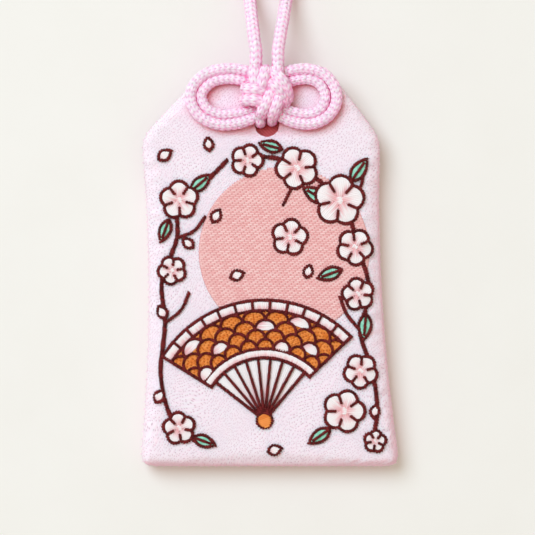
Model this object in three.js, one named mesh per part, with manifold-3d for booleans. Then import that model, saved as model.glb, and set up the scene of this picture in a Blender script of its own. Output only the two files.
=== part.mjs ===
// An omamori charm: a padded brocade bag with a paper-wrapped talisman in its pocket, embroidered on the
// front, and closed by a braided cord that is tied through the hole in its neck.
// Millimetres, +Z up. The charm lies on its back: +Y runs to its top edge, and the origin is the middle
// of the flat back, on the line of the hole.
import * as THREE from 'three';
import { mergeVertices } from 'three/addons/utils/BufferGeometryUtils.js';
import Module from 'manifold-3d';

const wasm = await Module();
wasm.setup();

// Driving dimensions: the bag's outline, measured from the line of the hole
const BAG_HEIGHT = 79.0;
const TOP_HALF_WIDTH = 12.5;
const SHOULDER_DROP = 13.4;
const SHOULDER_LEFT = 25.2;
const SHOULDER_RIGHT = 22.7;
const WAIST_LEFT = 23.8;
const WAIST_RIGHT = 23.2;
const BASE_LEFT = 25.2;
const BASE_RIGHT = 26.0;
const BASE_CORNER_RADIUS = 2.8;
const SHOULDER_RADIUS = 1.8;
const TOP_CORNER_RADIUS = 1.2;
const SIDE_STEPS = 6;

// Driving dimensions: the layers, from the back to the front
const CLOTH = 0.6;
const LINING = 0.3;
const POCKET_CLEARANCE = 0.2;
const WRAPPER_PAPER = 0.3;
const SLIP_THICKNESS = 1.0;
const SLIP_CLEARANCE = 0.1;
const CARD_THICKNESS = 1.0;
const PADDING_THICKNESS = 1.2;
const EDGE_ROUND = 1.4;
const BACK_EDGE_ROUND = 1.6;
const SEAM_GAP = 0.2;
const SIDE_CLEARANCE = 0.3;

// Driving dimensions: the neck with its hole, and the pocket's ramp up to it
const HOLE_RADIUS = 2.45;
const HOLE_DROP = 10.8;
const HOLE_CLEARANCE = 0.2;
const NECK_MARGIN = 1.5;
const RAMP_RUN = 12.0;

// Driving dimensions: the talisman
const TALISMAN_WIDTH = 32.0;
const TALISMAN_HEIGHT = 44.0;

// Driving dimensions: the cord
const CORD_RADIUS = 1.25;
const LOOP_CORD_RADIUS = 1.08;
const TIGHT_CORD_RADIUS = 1.0;
const CORD_SIDES = 8;
const CORD_GAP = 0.3;
const SEAT_GAP = 0.2;
const STRAND_GAP = 0.16;
const HOLE_PULL = 0.75;
const KNOT_RISE = 5.4;
const HINGE_RISE = 9.0;
const HINGE_LIFT = 2.7;
const END_KNOT_HALF_WIDTH = 3.6;
const END_KNOT_HALF_LENGTH = 3.4;
const END_KNOT_HALF_HEIGHT = 2.3;

// Driving dimensions: the embroidery
const THREAD_HEIGHT = 0.4;
const THREAD_GAP = 0.3;
const DISC_RADIUS = 17.0;
const FAN_RADIUS = 24.0;
const FAN_LEAF_INNER_RADIUS = 12.5;
const FAN_STICK_RADIUS = 12.0;
const FAN_HALF_ANGLE = 52;
const FAN_STICK_HALF_ANGLE = 46;
const FAN_TILT = 6;
const FAN_KNOB_RADIUS = 1.5;
const BLOSSOM_RADIUS = 4.0;
const LEAF_LENGTH = 5.0;
const LEAF_WIDTH = 2.4;
const PETAL_LENGTH = 2.8;
const PETAL_WIDTH = 1.9;

// Heights worked out from the layers
const backLiningZ = CLOTH;
const pocketZ = CLOTH + LINING;
const talismanZ = pocketZ + POCKET_CLEARANCE;
const talismanThickness = SLIP_THICKNESS + 2 * (WRAPPER_PAPER + SLIP_CLEARANCE);
const cardZ = talismanZ + talismanThickness + POCKET_CLEARANCE;
const paddingZ = cardZ + CARD_THICKNESS;
const frontLiningZ = paddingZ + PADDING_THICKNESS;
const frontClothZ = frontLiningZ + LINING;
const frontZ = frontClothZ + CLOTH;
const neckZ = paddingZ - LINING - CLOTH;
const seamZ = (paddingZ + frontZ - EDGE_ROUND) / 2;

// Places along the bag
const topY = BAG_HEIGHT / 2;
const bottomY = -BAG_HEIGHT / 2;
const holeY = topY - HOLE_DROP;
const knotY = holeY + KNOT_RISE;
const neckStartY = holeY - HOLE_RADIUS - NECK_MARGIN;
const rampStartY = neckStartY - RAMP_RUN;
const rampSlope = neckZ / RAMP_RUN;

const BEYOND = 20;

// Materials
function finish(color, roughness) {
  return new THREE.MeshStandardMaterial({ color, roughness, metalness: 0 });
}
const brocade = finish(0xf3e1ea, 0.75);
const liningCloth = finish(0xf6eef2, 0.85);
const wadding = finish(0xf7f4ee, 0.95);
const cardboard = finish(0xd9cdb8, 0.9);
const paper = finish(0xf4efe2, 0.85);
const cedar = finish(0xd8b283, 0.7);
const braid = finish(0xf2cfe2, 0.65);
const pinkThread = finish(0xe6a9a8, 0.55);
const orangeThread = finish(0xe07d30, 0.55);
const stickThread = finish(0x5c241f, 0.55);
const whiteThread = finish(0xf6e3e6, 0.5);
const mintThread = finish(0x9fdcc2, 0.55);

// Solids: a geometry becomes a closed solid that can be joined and cut
function solid(geometry) {
  geometry.deleteAttribute('normal');
  geometry.deleteAttribute('uv');
  const merged = mergeVertices(geometry, 1e-5);
  const vertProperties = new Float32Array(merged.attributes.position.array);
  const triVerts = new Uint32Array(merged.index.array);
  return new wasm.Manifold(new wasm.Mesh({ numProp: 3, vertProperties, triVerts }));
}

function toGeometry(manifold) {
  const mesh = manifold.getMesh();
  const geometry = new THREE.BufferGeometry();
  geometry.setAttribute('position', new THREE.BufferAttribute(mesh.vertProperties, 3));
  geometry.setIndex(new THREE.BufferAttribute(mesh.triVerts, 1));
  geometry.computeVertexNormals();
  return geometry;
}

function largestBody(manifold) {
  const bodies = manifold.decompose();
  bodies.sort((a, b) => b.volume() - a.volume());
  return bodies[0];
}

function join(solids) {
  return solids.reduce((whole, piece) => whole.add(piece));
}

const charm = new THREE.Group();

function addNode(parent, name, manifold, material) {
  const mesh = new THREE.Mesh(toGeometry(manifold), material);
  mesh.name = name;
  parent.add(mesh);
}

// The bag's outline: corners with their rounding, anticlockwise from the bottom left
function sideCurve(shoulder, waist, base) {
  const control = 2 * waist - (shoulder + base) / 2;
  const low = new THREE.Vector2(base, bottomY);
  const middle = new THREE.Vector2(control, (bottomY + topY - SHOULDER_DROP) / 2);
  const high = new THREE.Vector2(shoulder, topY - SHOULDER_DROP);
  return new THREE.QuadraticBezierCurve(low, middle, high);
}

function outlineCorners() {
  const corner = (point, radius) => ({ point, radius });
  const right = sideCurve(SHOULDER_RIGHT, WAIST_RIGHT, BASE_RIGHT).getPoints(SIDE_STEPS);
  const left = sideCurve(-SHOULDER_LEFT, -WAIST_LEFT, -BASE_LEFT).getPoints(SIDE_STEPS).reverse();
  const sideCorner = (point, index, low, high) => {
    if (index === low) return corner(point, BASE_CORNER_RADIUS);
    if (index === high) return corner(point, SHOULDER_RADIUS);
    return corner(point, 0);
  };
  return [
    ...right.map((point, index) => sideCorner(point, index, 0, SIDE_STEPS)),
    corner(new THREE.Vector2(TOP_HALF_WIDTH, topY), TOP_CORNER_RADIUS),
    corner(new THREE.Vector2(-TOP_HALF_WIDTH, topY), TOP_CORNER_RADIUS),
    ...left.map((point, index) => sideCorner(point, index, SIDE_STEPS, 0)),
  ];
}

function edgeNormal(from, to) {
  const along = to.clone().sub(from).normalize();
  return new THREE.Vector2(-along.y, along.x);
}

function insetCorners(corners, distance) {
  const count = corners.length;
  return corners.map(({ point, radius }, index) => {
    const before = corners[(index + count - 1) % count].point;
    const after = corners[(index + 1) % count].point;
    const first = edgeNormal(before, point);
    const second = edgeNormal(point, after);
    const shift = first.clone().add(second).multiplyScalar(distance / (1 + first.dot(second)));
    return { point: point.clone().add(shift), radius: Math.max(radius - distance, 0) };
  });
}

function bagShape(inset) {
  const corners = insetCorners(outlineCorners(), inset);
  const count = corners.length;
  const shape = new THREE.Shape();
  corners.forEach(({ point, radius }, index) => {
    const before = corners[(index + count - 1) % count].point;
    const after = corners[(index + 1) % count].point;
    const entry = point.clone().add(before.clone().sub(point).setLength(radius));
    const leave = point.clone().add(after.clone().sub(point).setLength(radius));
    if (index === 0) shape.moveTo(entry.x, entry.y);
    else shape.lineTo(entry.x, entry.y);
    if (radius > 0) shape.quadraticCurveTo(point.x, point.y, leave.x, leave.y);
  });
  shape.closePath();
  return shape;
}

function slab(shape, low, high, curveSegments = 4) {
  const settings = { depth: high - low, bevelEnabled: false, curveSegments };
  return solid(new THREE.ExtrudeGeometry(shape, settings).translate(0, 0, low));
}

function box(low, high) {
  const size = new THREE.Vector3().subVectors(high, low);
  const middle = new THREE.Vector3().addVectors(low, high).multiplyScalar(0.5);
  return solid(new THREE.BoxGeometry(size.x, size.y, size.z).translate(middle.x, middle.y, middle.z));
}

function halfSpace(lowZ, highZ) {
  const reach = BAG_HEIGHT;
  return box(new THREE.Vector3(-reach, -reach, lowZ), new THREE.Vector3(reach, reach, highZ));
}

// A slab with rounded edges at both faces, of which the cut keeps one
function pillow(low, high, round) {
  const settings = {
    depth: high - low - 2 * round,
    bevelThickness: round,
    bevelSize: round,
    bevelOffset: -round,
    bevelSegments: 3,
    curveSegments: 4,
  };
  return solid(new THREE.ExtrudeGeometry(bagShape(0), settings).translate(0, 0, low + round));
}

// What is cut away under the neck, so that the cord has room between the bag and what it lies on
function neckRelief(lift) {
  const profile = new THREE.Shape();
  profile.moveTo(rampStartY - BEYOND, lift - BEYOND * rampSlope);
  profile.lineTo(neckStartY, neckZ + lift);
  profile.lineTo(topY + BEYOND, neckZ + lift);
  profile.lineTo(topY + BEYOND, lift - BEYOND * rampSlope);
  const width = 2 * BAG_HEIGHT;
  const geometry = new THREE.ExtrudeGeometry(profile, { depth: width, bevelEnabled: false });
  geometry.rotateY(Math.PI / 2);
  geometry.rotateX(Math.PI / 2);
  return solid(geometry.translate(-width / 2, 0, 0));
}

// A tray inside the back cloth, raised by the layers below it
function tray(inset, lift, high) {
  return slab(bagShape(inset), lift, high).subtract(neckRelief(lift));
}

function cordHole(clearance) {
  const radius = HOLE_RADIUS + clearance;
  const geometry = new THREE.CylinderGeometry(radius, radius, 2 * BEYOND, 24);
  return solid(geometry.rotateX(Math.PI / 2).translate(0, holeY, 0));
}

// The bag: cloth, linings, padding and card
function addBag() {
  const frontTop = seamZ + SEAM_GAP;
  const frontPillow = pillow(frontTop - 2 * EDGE_ROUND, frontZ, EDGE_ROUND);
  const frontLid = frontPillow.intersect(halfSpace(frontTop, BEYOND));
  const frontInside = slab(bagShape(CLOTH), frontTop - BEYOND, frontClothZ);
  addNode(charm, 'front_panel', frontLid.subtract(frontInside).subtract(cordHole(0)), brocade);

  const backBody = pillow(0, seamZ + 2 * BACK_EDGE_ROUND, BACK_EDGE_ROUND).intersect(halfSpace(0, seamZ));
  const backTray = backBody.subtract(neckRelief(0)).subtract(tray(CLOTH, CLOTH, BEYOND));
  addNode(charm, 'back_panel', backTray.subtract(cordHole(0)), brocade);

  const liningInset = CLOTH + SIDE_CLEARANCE;
  const frontLining = slab(bagShape(liningInset), frontLiningZ, frontClothZ);
  addNode(charm, 'front_lining', frontLining.subtract(cordHole(HOLE_CLEARANCE)), liningCloth);

  const liningFloor = BACK_EDGE_ROUND + SIDE_CLEARANCE;
  const backLining = tray(liningFloor, backLiningZ, neckZ + pocketZ).subtract(tray(0, pocketZ, BEYOND));
  addNode(charm, 'back_lining', backLining.subtract(cordHole(HOLE_CLEARANCE)), liningCloth);

  const padding = slab(bagShape(liningInset), paddingZ, frontLiningZ);
  addNode(charm, 'padding', padding.subtract(cordHole(HOLE_CLEARANCE)), wadding);

  const cardTop = rampStartY + (cardZ - pocketZ) / rampSlope - SIDE_CLEARANCE;
  const cardLimit = box(
    new THREE.Vector3(-BAG_HEIGHT, -BAG_HEIGHT, cardZ),
    new THREE.Vector3(BAG_HEIGHT, cardTop, paddingZ),
  );
  const card = slab(bagShape(liningInset), cardZ, paddingZ).intersect(cardLimit);
  addNode(charm, 'stiffener_card', card, cardboard);
}

// The talisman: a cedar slip in a paper sleeve that is open at its top
function addTalisman() {
  const low = bottomY + BACK_EDGE_ROUND + SIDE_CLEARANCE;
  const half = TALISMAN_WIDTH / 2;
  const sleeve = box(
    new THREE.Vector3(-half, low, talismanZ),
    new THREE.Vector3(half, low + TALISMAN_HEIGHT, talismanZ + talismanThickness),
  );
  const sleeveInside = box(
    new THREE.Vector3(-half + WRAPPER_PAPER, low + WRAPPER_PAPER, talismanZ + WRAPPER_PAPER),
    new THREE.Vector3(
      half - WRAPPER_PAPER,
      low + TALISMAN_HEIGHT + BEYOND,
      talismanZ + talismanThickness - WRAPPER_PAPER,
    ),
  );
  addNode(charm, 'talisman_wrapper', sleeve.subtract(sleeveInside), paper);

  const edge = WRAPPER_PAPER + SLIP_CLEARANCE;
  const slip = box(
    new THREE.Vector3(-half + edge, low + edge, talismanZ + edge),
    new THREE.Vector3(half - edge, low + TALISMAN_HEIGHT - edge, talismanZ + edge + SLIP_THICKNESS),
  );
  addNode(charm, 'talisman_slip', slip, cedar);
}

// Cords: a tube of eight sides along hand-picked points, which are measured from the knot's middle on the
// front of the bag
function cordTube(points, radius, steps) {
  const path = new THREE.CatmullRomCurve3(points.map((point) => new THREE.Vector3(...point)));
  const section = new THREE.Shape();
  for (let side = 0; side < CORD_SIDES; side += 1) {
    const angle = (2 * Math.PI * side) / CORD_SIDES;
    const x = radius * Math.cos(angle);
    const y = radius * Math.sin(angle);
    if (side === 0) section.moveTo(x, y);
    else section.lineTo(x, y);
  }
  section.closePath();
  return solid(new THREE.ExtrudeGeometry(section, { steps, extrudePath: path }));
}

function roundEnd(point, radius) {
  return solid(new THREE.SphereGeometry(radius, CORD_SIDES, CORD_SIDES / 2).translate(...point));
}

const faceZ = SEAT_GAP + CORD_RADIUS;
const stubRise = HINGE_RISE - 2 * CORD_RADIUS - CORD_GAP;

// The bands of the knot. Each passes over the front and turns to the back at its outer end, and its inner
// end dives under the next band. The first two are the roots of the hanging strands.
const leftRoot = [
  [-2.4, stubRise, HINGE_LIFT], [-2.3, 4.9, 3.2], [-2.25, 3.4, 3.5], [-2.2, 1.9, 2.7], [-2.1, 0.2, 1.9],
];
const rightRoot = [
  [2.4, stubRise, HINGE_LIFT], [2.15, 5.0, 2.5], [2.0, 3.8, 2.0], [1.8, 2.4, 1.7],
];
const topBand = [
  [0.2, 2.6, faceZ], [-0.1, 4.9, 1.6], [-0.4, 6.0, 2.6], [-0.6, 5.2, 3.7], [-1.0, 3.4, 3.9],
  [-1.4, 1.6, 3.0], [-1.6, 0.2, 2.0],
];
const leftUpperBand = [
  [-2.2, 1.5, faceZ], [-4.3, 1.6, 1.6], [-4.9, 1.6, 2.7], [-4.1, 1.5, 3.8], [-2.3, 1.3, 4.1],
  [-0.8, 0.9, 3.4], [0.4, 0.3, 2.2],
];
const leftLowerBand = [
  [-2.2, -0.9, faceZ], [-4.4, -0.9, 1.6], [-5.0, -0.9, 2.7], [-4.2, -0.9, 3.8], [-2.5, -0.9, 4.1],
  [-1.1, -1.3, 3.4], [0.1, -1.6, 2.3],
];
const bottomLeftBand = [
  [1.2, 1.6, 2.2], [0.7, 0.9, 3.3], [0.2, -0.6, 4.0], [-0.6, -2.3, 3.8], [-1.0, -3.2, 2.8],
  [-0.9, -3.3, 1.7], [-0.4, -2.2, faceZ],
];
const bottomRightBand = [
  [3.0, 0.8, 2.2], [2.4, 0.0, 3.3], [1.9, -1.6, 4.0], [1.3, -3.1, 3.4], [1.0, -3.8, 2.3],
];
const rightInnerBand = [
  [-0.2, 3.6, 2.3], [0.6, 2.9, 3.4], [1.8, 2.1, 4.1], [3.1, 0.7, 3.8], [3.7, -0.3, 2.7],
  [3.5, -0.6, 1.6], [2.0, 0.3, faceZ],
];
const rightOuterBand = [
  [0.6, 5.3, 2.3], [1.4, 4.7, 3.3], [2.9, 3.6, 3.9], [4.1, 1.6, 3.7], [4.6, 0.0, 2.7],
  [4.4, -0.4, 1.6], [2.6, 1.2, faceZ],
];
const knotBands = [
  leftRoot, rightRoot, topBand, leftUpperBand, leftLowerBand, bottomLeftBand, bottomRightBand,
  rightInnerBand, rightOuterBand,
];
const BAND_STEPS = 8;

function knotSolid(radius) {
  const bands = knotBands.map((points) => cordTube(points, radius, BAND_STEPS));
  return join([...bands, roundEnd(leftRoot[0], radius), roundEnd(rightRoot[0], radius)]);
}

// The loops lie flat on the front, an outer and an inner one on each side. They press on each other, which
// makes them thinner than the hanging strands.
const loopZ = SEAT_GAP + LOOP_CORD_RADIUS;
const cordLoops = {
  left_outer_loop: [
    [-2.6, 4.7, loopZ], [-5.0, 5.5, loopZ], [-8.2, 5.75, loopZ], [-12.4, 4.7, loopZ], [-15.0, 2.0, loopZ],
    [-15.3, -0.7, loopZ], [-13.7, -3.8, loopZ], [-10.0, -5.7, loopZ], [-6.2, -5.6, loopZ],
    [-3.0, -4.7, loopZ],
  ],
  left_inner_loop: [
    [-2.6, 2.2, loopZ], [-5.2, 3.15, loopZ], [-8.2, 3.45, loopZ], [-11.1, 2.6, loopZ], [-12.95, 0.3, loopZ],
    [-11.9, -2.0, loopZ], [-9.2, -3.3, loopZ], [-5.8, -3.1, loopZ], [-3.0, -2.2, loopZ],
  ],
  right_outer_loop: [
    [3.0, 4.7, loopZ], [5.2, 5.5, loopZ], [8.0, 5.75, loopZ], [11.4, 4.7, loopZ], [13.6, 1.9, loopZ],
    [13.9, -1.1, loopZ], [12.3, -4.1, loopZ], [9.2, -5.75, loopZ], [6.0, -5.6, loopZ], [3.4, -4.7, loopZ],
  ],
  right_inner_loop: [
    [3.0, 2.2, loopZ], [5.4, 3.15, loopZ], [8.0, 3.45, loopZ], [10.3, 2.5, loopZ], [11.5, 0.2, loopZ],
    [10.65, -2.1, loopZ], [8.4, -3.4, loopZ], [5.8, -3.15, loopZ], [3.4, -2.0, loopZ],
  ],
};
const LOOP_STEPS = 22;

// The cord behind the neck: out of the knot, through the hole, up the back and over the top edge
const topRise = topY - knotY;
const holeRise = holeY - knotY;
const neckBack = neckZ - frontZ;
const behindZ = neckBack - CORD_GAP - TIGHT_CORD_RADIUS;
const overRise = topRise + CORD_GAP + TIGHT_CORD_RADIUS;
const tightFaceZ = SEAT_GAP + TIGHT_CORD_RADIUS;

function neckWrap(side) {
  const x = side * (TIGHT_CORD_RADIUS + STRAND_GAP / 2);
  const pulled = holeRise + HOLE_PULL;
  const middle = neckBack / 2;
  return [
    [x, pulled + 1.3, tightFaceZ + 0.5], [x, pulled + 0.3, tightFaceZ - 0.1], [x, pulled, 0],
    [x, pulled, middle], [x, pulled, neckBack], [x, pulled + 0.5, behindZ + 0.35],
    [x, pulled + 1.9, behindZ], [x, 0, behindZ], [x, topRise - 1.6, behindZ],
    [x, topRise + 0.2, behindZ], [x, overRise - 0.25, behindZ + 0.7], [x, overRise, middle - 1.0],
    [x, overRise, middle + 0.7], [x, overRise - 0.25, 0.5], [x, topRise + 0.3, tightFaceZ],
    [x, topRise - 1.2, tightFaceZ],
  ];
}
const WRAP_STEPS = 30;

// The hanging strands: down from the knot to the surface and along it to the end knot
const layZ = CORD_RADIUS + SEAT_GAP - frontZ;
const strands = {
  left_strand: [
    [-2.4, HINGE_RISE, HINGE_LIFT], [-2.7, 12.0, 1.9], [-3.0, 15.5, 0.1], [-3.4, 19.4, -2.2],
    [-4.1, 24.0, -4.1], [-5.0, 29.0, layZ], [-6.0, 36.0, layZ], [-6.3, 44.0, layZ], [-5.7, 52.0, layZ],
    [-4.2, 60.0, layZ], [-2.4, 66.0, layZ], [-1.6, 69.6, layZ],
  ],
  right_strand: [
    [2.4, HINGE_RISE, HINGE_LIFT], [2.75, 12.0, 1.9], [3.2, 15.5, 0.1], [3.8, 19.4, -2.2],
    [4.6, 24.0, -4.1], [5.6, 29.0, layZ], [6.7, 36.0, layZ], [7.0, 44.0, layZ], [6.3, 52.0, layZ],
    [4.6, 60.0, layZ], [2.6, 66.0, layZ], [1.6, 69.6, layZ],
  ],
};
const STRAND_STEPS = 24;
const strandEndRise = strands.left_strand.at(-1)[1];
const endKnotRise = strandEndRise + CORD_GAP + END_KNOT_HALF_LENGTH;
const tails = {
  left_tail: [[-1.4, 0, layZ], [-2.0, 3.0, layZ], [-3.1, 6.0, layZ], [-3.8, 9.0, layZ]],
  right_tail: [[1.4, 0, layZ], [1.8, 3.0, layZ], [2.3, 5.5, layZ], [3.6, 8.4, layZ]],
};
const TAIL_STEPS = 5;

function endKnot(grow) {
  const ball = new THREE.SphereGeometry(1, 14, 8);
  ball.scale(END_KNOT_HALF_WIDTH + grow, END_KNOT_HALF_LENGTH + grow, END_KNOT_HALF_HEIGHT + grow);
  return solid(ball.translate(0, endKnotRise, END_KNOT_HALF_HEIGHT + SEAT_GAP - frontZ));
}

function addCord() {
  const cord = new THREE.Group();
  cord.position.set(0, knotY, frontZ);
  charm.add(cord);

  addNode(cord, 'cross_knot', knotSolid(CORD_RADIUS), braid);
  const knotRoom = knotSolid(CORD_RADIUS + CORD_GAP);
  const wraps = { left_neck_wrap: neckWrap(-1), right_neck_wrap: neckWrap(1) };
  let wrapRoom = knotRoom;
  for (const [name, points] of Object.entries(wraps)) {
    const tube = cordTube(points, TIGHT_CORD_RADIUS, WRAP_STEPS);
    addNode(cord, name, largestBody(tube.subtract(knotRoom)), braid);
    wrapRoom = wrapRoom.add(cordTube(points, TIGHT_CORD_RADIUS + CORD_GAP, WRAP_STEPS));
  }
  for (const [name, points] of Object.entries(cordLoops)) {
    const tube = cordTube(points, LOOP_CORD_RADIUS, LOOP_STEPS);
    addNode(cord, name, largestBody(tube.subtract(wrapRoom)), braid);
  }
  const endKnotRoom = endKnot(CORD_GAP);
  for (const [name, points] of Object.entries(strands)) {
    const tube = cordTube(points, CORD_RADIUS, STRAND_STEPS).add(roundEnd(points[0], CORD_RADIUS));
    addNode(cord, name, largestBody(tube.subtract(endKnotRoom)), braid);
  }
  addNode(cord, 'end_knot', endKnot(0), braid);
  for (const [name, points] of Object.entries(tails)) {
    const placed = points.map(([x, y, z]) => [x, y + endKnotRise, z]);
    const tube = cordTube(placed, CORD_RADIUS, TAIL_STEPS);
    addNode(cord, name, largestBody(tube.subtract(endKnotRoom)), braid);
  }
}

// The embroidery: raised patches of thread on the front. A place is a share of the bag's half width on that
// side and of its height, and a size is a share of the named one.
const radians = THREE.MathUtils.degToRad;
const discCentre = [0.15, 0.54];
const fanPivot = [-0.02, 0.115];
const blossoms = [
  { at: [0.64, 0.671], size: 1.25, turn: 12 },
  { at: [0.773, 0.553], size: 0.9, turn: 60 },
  { at: [0.265, 0.753], size: 1.05, turn: 40 },
  { at: [-0.16, 0.772], size: 0.8, turn: 0 },
  { at: [0.786, 0.434], size: 0.8, turn: 30 },
  { at: [0.77, 0.239], size: 0.85, turn: 50 },
  { at: [0.2, 0.578], size: 0.9, turn: 8 },
  { at: [-0.722, 0.672], size: 0.95, turn: 20 },
  { at: [-0.797, 0.494], size: 0.7, turn: 44 },
  { at: [-0.707, 0.095], size: 0.8, turn: 26 },
  { at: [0.61, 0.138], size: 1.05, turn: 0 },
  { at: [0.83, 0.062], size: 0.55, turn: 10 },
];
const leaves = [
  { at: [0.425, 0.685], size: 1.08, turn: 150 },
  { at: [0.815, 0.748], size: 1.08, turn: 55 },
  { at: [0.03, 0.808], size: 0.92, turn: 165 },
  { at: [0.545, 0.485], size: 1, turn: 200 },
  { at: [0.83, 0.351], size: 1.04, turn: 265 },
  { at: [0.405, 0.075], size: 1, turn: 215 },
  { at: [-0.54, 0.715], size: 1, turn: 40 },
  { at: [-0.85, 0.594], size: 0.92, turn: 250 },
  { at: [-0.5, 0.062], size: 0.92, turn: 340 },
];
const petals = [
  { at: [-0.82, 0.786], size: 1.071, turn: 35 },
  { at: [-0.466, 0.814], size: 0.929, turn: 100 },
  { at: [-0.42, 0.632], size: 1, turn: 60 },
  { at: [-0.66, 0.563], size: 0.929, turn: 140 },
  { at: [-0.88, 0.389], size: 1, turn: 120 },
  { at: [-0.25, 0.482], size: 1, turn: 20 },
  { at: [0.36, 0.492], size: 0.929, turn: 75 },
  { at: [0.06, 0.04], size: 1, turn: 15 },
  { at: [0.855, 0.138], size: 0.929, turn: 80 },
  { at: [-0.88, 0.176], size: 1, turn: 60 },
];

function onFront([across, up]) {
  const y = bottomY + up * BAG_HEIGHT;
  const t = Math.min((up * BAG_HEIGHT) / (BAG_HEIGHT - SHOULDER_DROP), 1);
  const [shoulder, waist, base] = across < 0
    ? [SHOULDER_LEFT, WAIST_LEFT, BASE_LEFT]
    : [SHOULDER_RIGHT, WAIST_RIGHT, BASE_RIGHT];
  const halfWidth = sideCurve(shoulder, waist, base).getPoint(t).x;
  return [across * halfWidth, y];
}

function blossomShape(radius) {
  const petal = radius * 0.47;
  const reach = radius - petal;
  const half = Math.PI / 5;
  const notch = reach * Math.cos(half) + Math.sqrt(petal ** 2 - (reach * Math.sin(half)) ** 2);
  const sweep = Math.atan2(notch * Math.sin(half), notch * Math.cos(half) - reach);
  const shape = new THREE.Shape();
  for (let index = 0; index < 5; index += 1) {
    const angle = 2 * half * index;
    shape.absarc(reach * Math.cos(angle), reach * Math.sin(angle), petal, angle - sweep, angle + sweep);
  }
  return shape;
}

function leafShape(length, width) {
  const shape = new THREE.Shape();
  shape.moveTo(-length / 2, 0);
  shape.quadraticCurveTo(-length / 8, -width, length / 2, 0);
  shape.quadraticCurveTo(-length / 8, width, -length / 2, 0);
  return shape;
}

function sector(inner, outer, halfAngle) {
  const shape = new THREE.Shape();
  const first = Math.PI / 2 - radians(halfAngle);
  const last = Math.PI / 2 + radians(halfAngle);
  shape.absarc(0, 0, outer, first, last, false);
  shape.absarc(0, 0, inner, last, first, true);
  shape.closePath();
  return shape;
}

function patch(shape, place, turn, curveSegments) {
  const [x, y] = onFront(place);
  const settings = { depth: THREAD_HEIGHT, bevelEnabled: false, curveSegments };
  const geometry = new THREE.ExtrudeGeometry(shape, settings);
  geometry.rotateZ(radians(turn));
  return solid(geometry.translate(x, y, frontZ));
}

function circle(radius) {
  return new THREE.Shape().absarc(0, 0, radius, 0, 2 * Math.PI);
}

function addEmbroidery() {
  const fanLeaf = sector(FAN_LEAF_INNER_RADIUS, FAN_RADIUS, FAN_HALF_ANGLE);
  const fanSticks = sector(FAN_KNOB_RADIUS, FAN_STICK_RADIUS, FAN_STICK_HALF_ANGLE);
  addNode(charm, 'fan_leaf', patch(fanLeaf, fanPivot, FAN_TILT, 20), orangeThread);
  const knob = patch(circle(FAN_KNOB_RADIUS + THREAD_GAP), fanPivot, 0, 12);
  addNode(charm, 'fan_sticks', patch(fanSticks, fanPivot, FAN_TILT, 12).add(knob), stickThread);

  const blossomRooms = [];
  blossoms.forEach(({ at, size, turn }, index) => {
    const radius = size * BLOSSOM_RADIUS;
    addNode(charm, `blossom_${index + 1}`, patch(blossomShape(radius), at, turn, 2), whiteThread);
    blossomRooms.push(patch(blossomShape(radius + THREAD_GAP), at, turn, 2));
  });
  const blossomRoom = join(blossomRooms);
  const gapAngle = THREE.MathUtils.radToDeg(THREAD_GAP / FAN_LEAF_INNER_RADIUS);
  const fanGrown = sector(FAN_STICK_RADIUS, FAN_RADIUS + THREAD_GAP, FAN_HALF_ANGLE + gapAngle);
  const fanRoom = patch(fanGrown, fanPivot, FAN_TILT, 20);

  let discRoom = blossomRoom.add(patch(circle(FAN_RADIUS + THREAD_GAP), fanPivot, 0, 48));
  leaves.forEach(({ at, size, turn }, index) => {
    const [length, width] = [size * LEAF_LENGTH, size * LEAF_WIDTH];
    const leaf = patch(leafShape(length, width), at, turn, 6).subtract(blossomRoom).subtract(fanRoom);
    addNode(charm, `leaf_${index + 1}`, largestBody(leaf), mintThread);
    discRoom = discRoom.add(patch(leafShape(length + 2 * THREAD_GAP, width + 2 * THREAD_GAP), at, turn, 6));
  });
  petals.forEach(({ at, size, turn }, index) => {
    const [length, width] = [size * PETAL_LENGTH, size * PETAL_WIDTH];
    addNode(charm, `petal_${index + 1}`, patch(leafShape(length, width), at, turn, 4), whiteThread);
    discRoom = discRoom.add(patch(leafShape(length + 2 * THREAD_GAP, width + 2 * THREAD_GAP), at, turn, 4));
  });
  const disc = patch(circle(DISC_RADIUS), discCentre, 0, 48).subtract(discRoom);
  addNode(charm, 'sun_disc', largestBody(disc), pinkThread);
}

addBag();
addTalisman();
addCord();
addEmbroidery();

export default charm;
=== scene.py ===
# %% [markdown]
# # An omamori charm
# An omamori is a small cloth bag with a prayer slip inside, closed by a knotted cord. This lesson dresses
# the charm's fixed frame of plain solids: it braids the cord, sews and pads the bag, and embroiders its
# front. The frame comes first, because every piece is placed by it, and all but the two hanging strands ride
# on one of its bodies.

# %% Load the frame
import math

import bpy
import numpy as np
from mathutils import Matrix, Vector
from mathutils.bvhtree import BVHTree


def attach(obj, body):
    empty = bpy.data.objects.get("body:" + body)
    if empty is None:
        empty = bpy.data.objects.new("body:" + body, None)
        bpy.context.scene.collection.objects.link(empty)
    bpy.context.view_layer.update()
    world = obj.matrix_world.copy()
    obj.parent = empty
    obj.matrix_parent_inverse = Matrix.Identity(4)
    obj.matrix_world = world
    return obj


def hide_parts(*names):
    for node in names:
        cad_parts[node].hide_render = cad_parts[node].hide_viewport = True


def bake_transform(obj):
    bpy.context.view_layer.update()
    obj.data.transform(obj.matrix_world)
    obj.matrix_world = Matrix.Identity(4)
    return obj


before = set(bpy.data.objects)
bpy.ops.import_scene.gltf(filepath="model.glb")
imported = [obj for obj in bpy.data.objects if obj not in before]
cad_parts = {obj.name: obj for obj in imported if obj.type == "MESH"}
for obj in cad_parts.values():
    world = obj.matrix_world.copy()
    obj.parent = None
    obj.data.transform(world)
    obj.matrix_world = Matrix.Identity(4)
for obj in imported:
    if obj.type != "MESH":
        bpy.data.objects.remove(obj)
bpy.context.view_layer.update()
MM = 0.001

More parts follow.
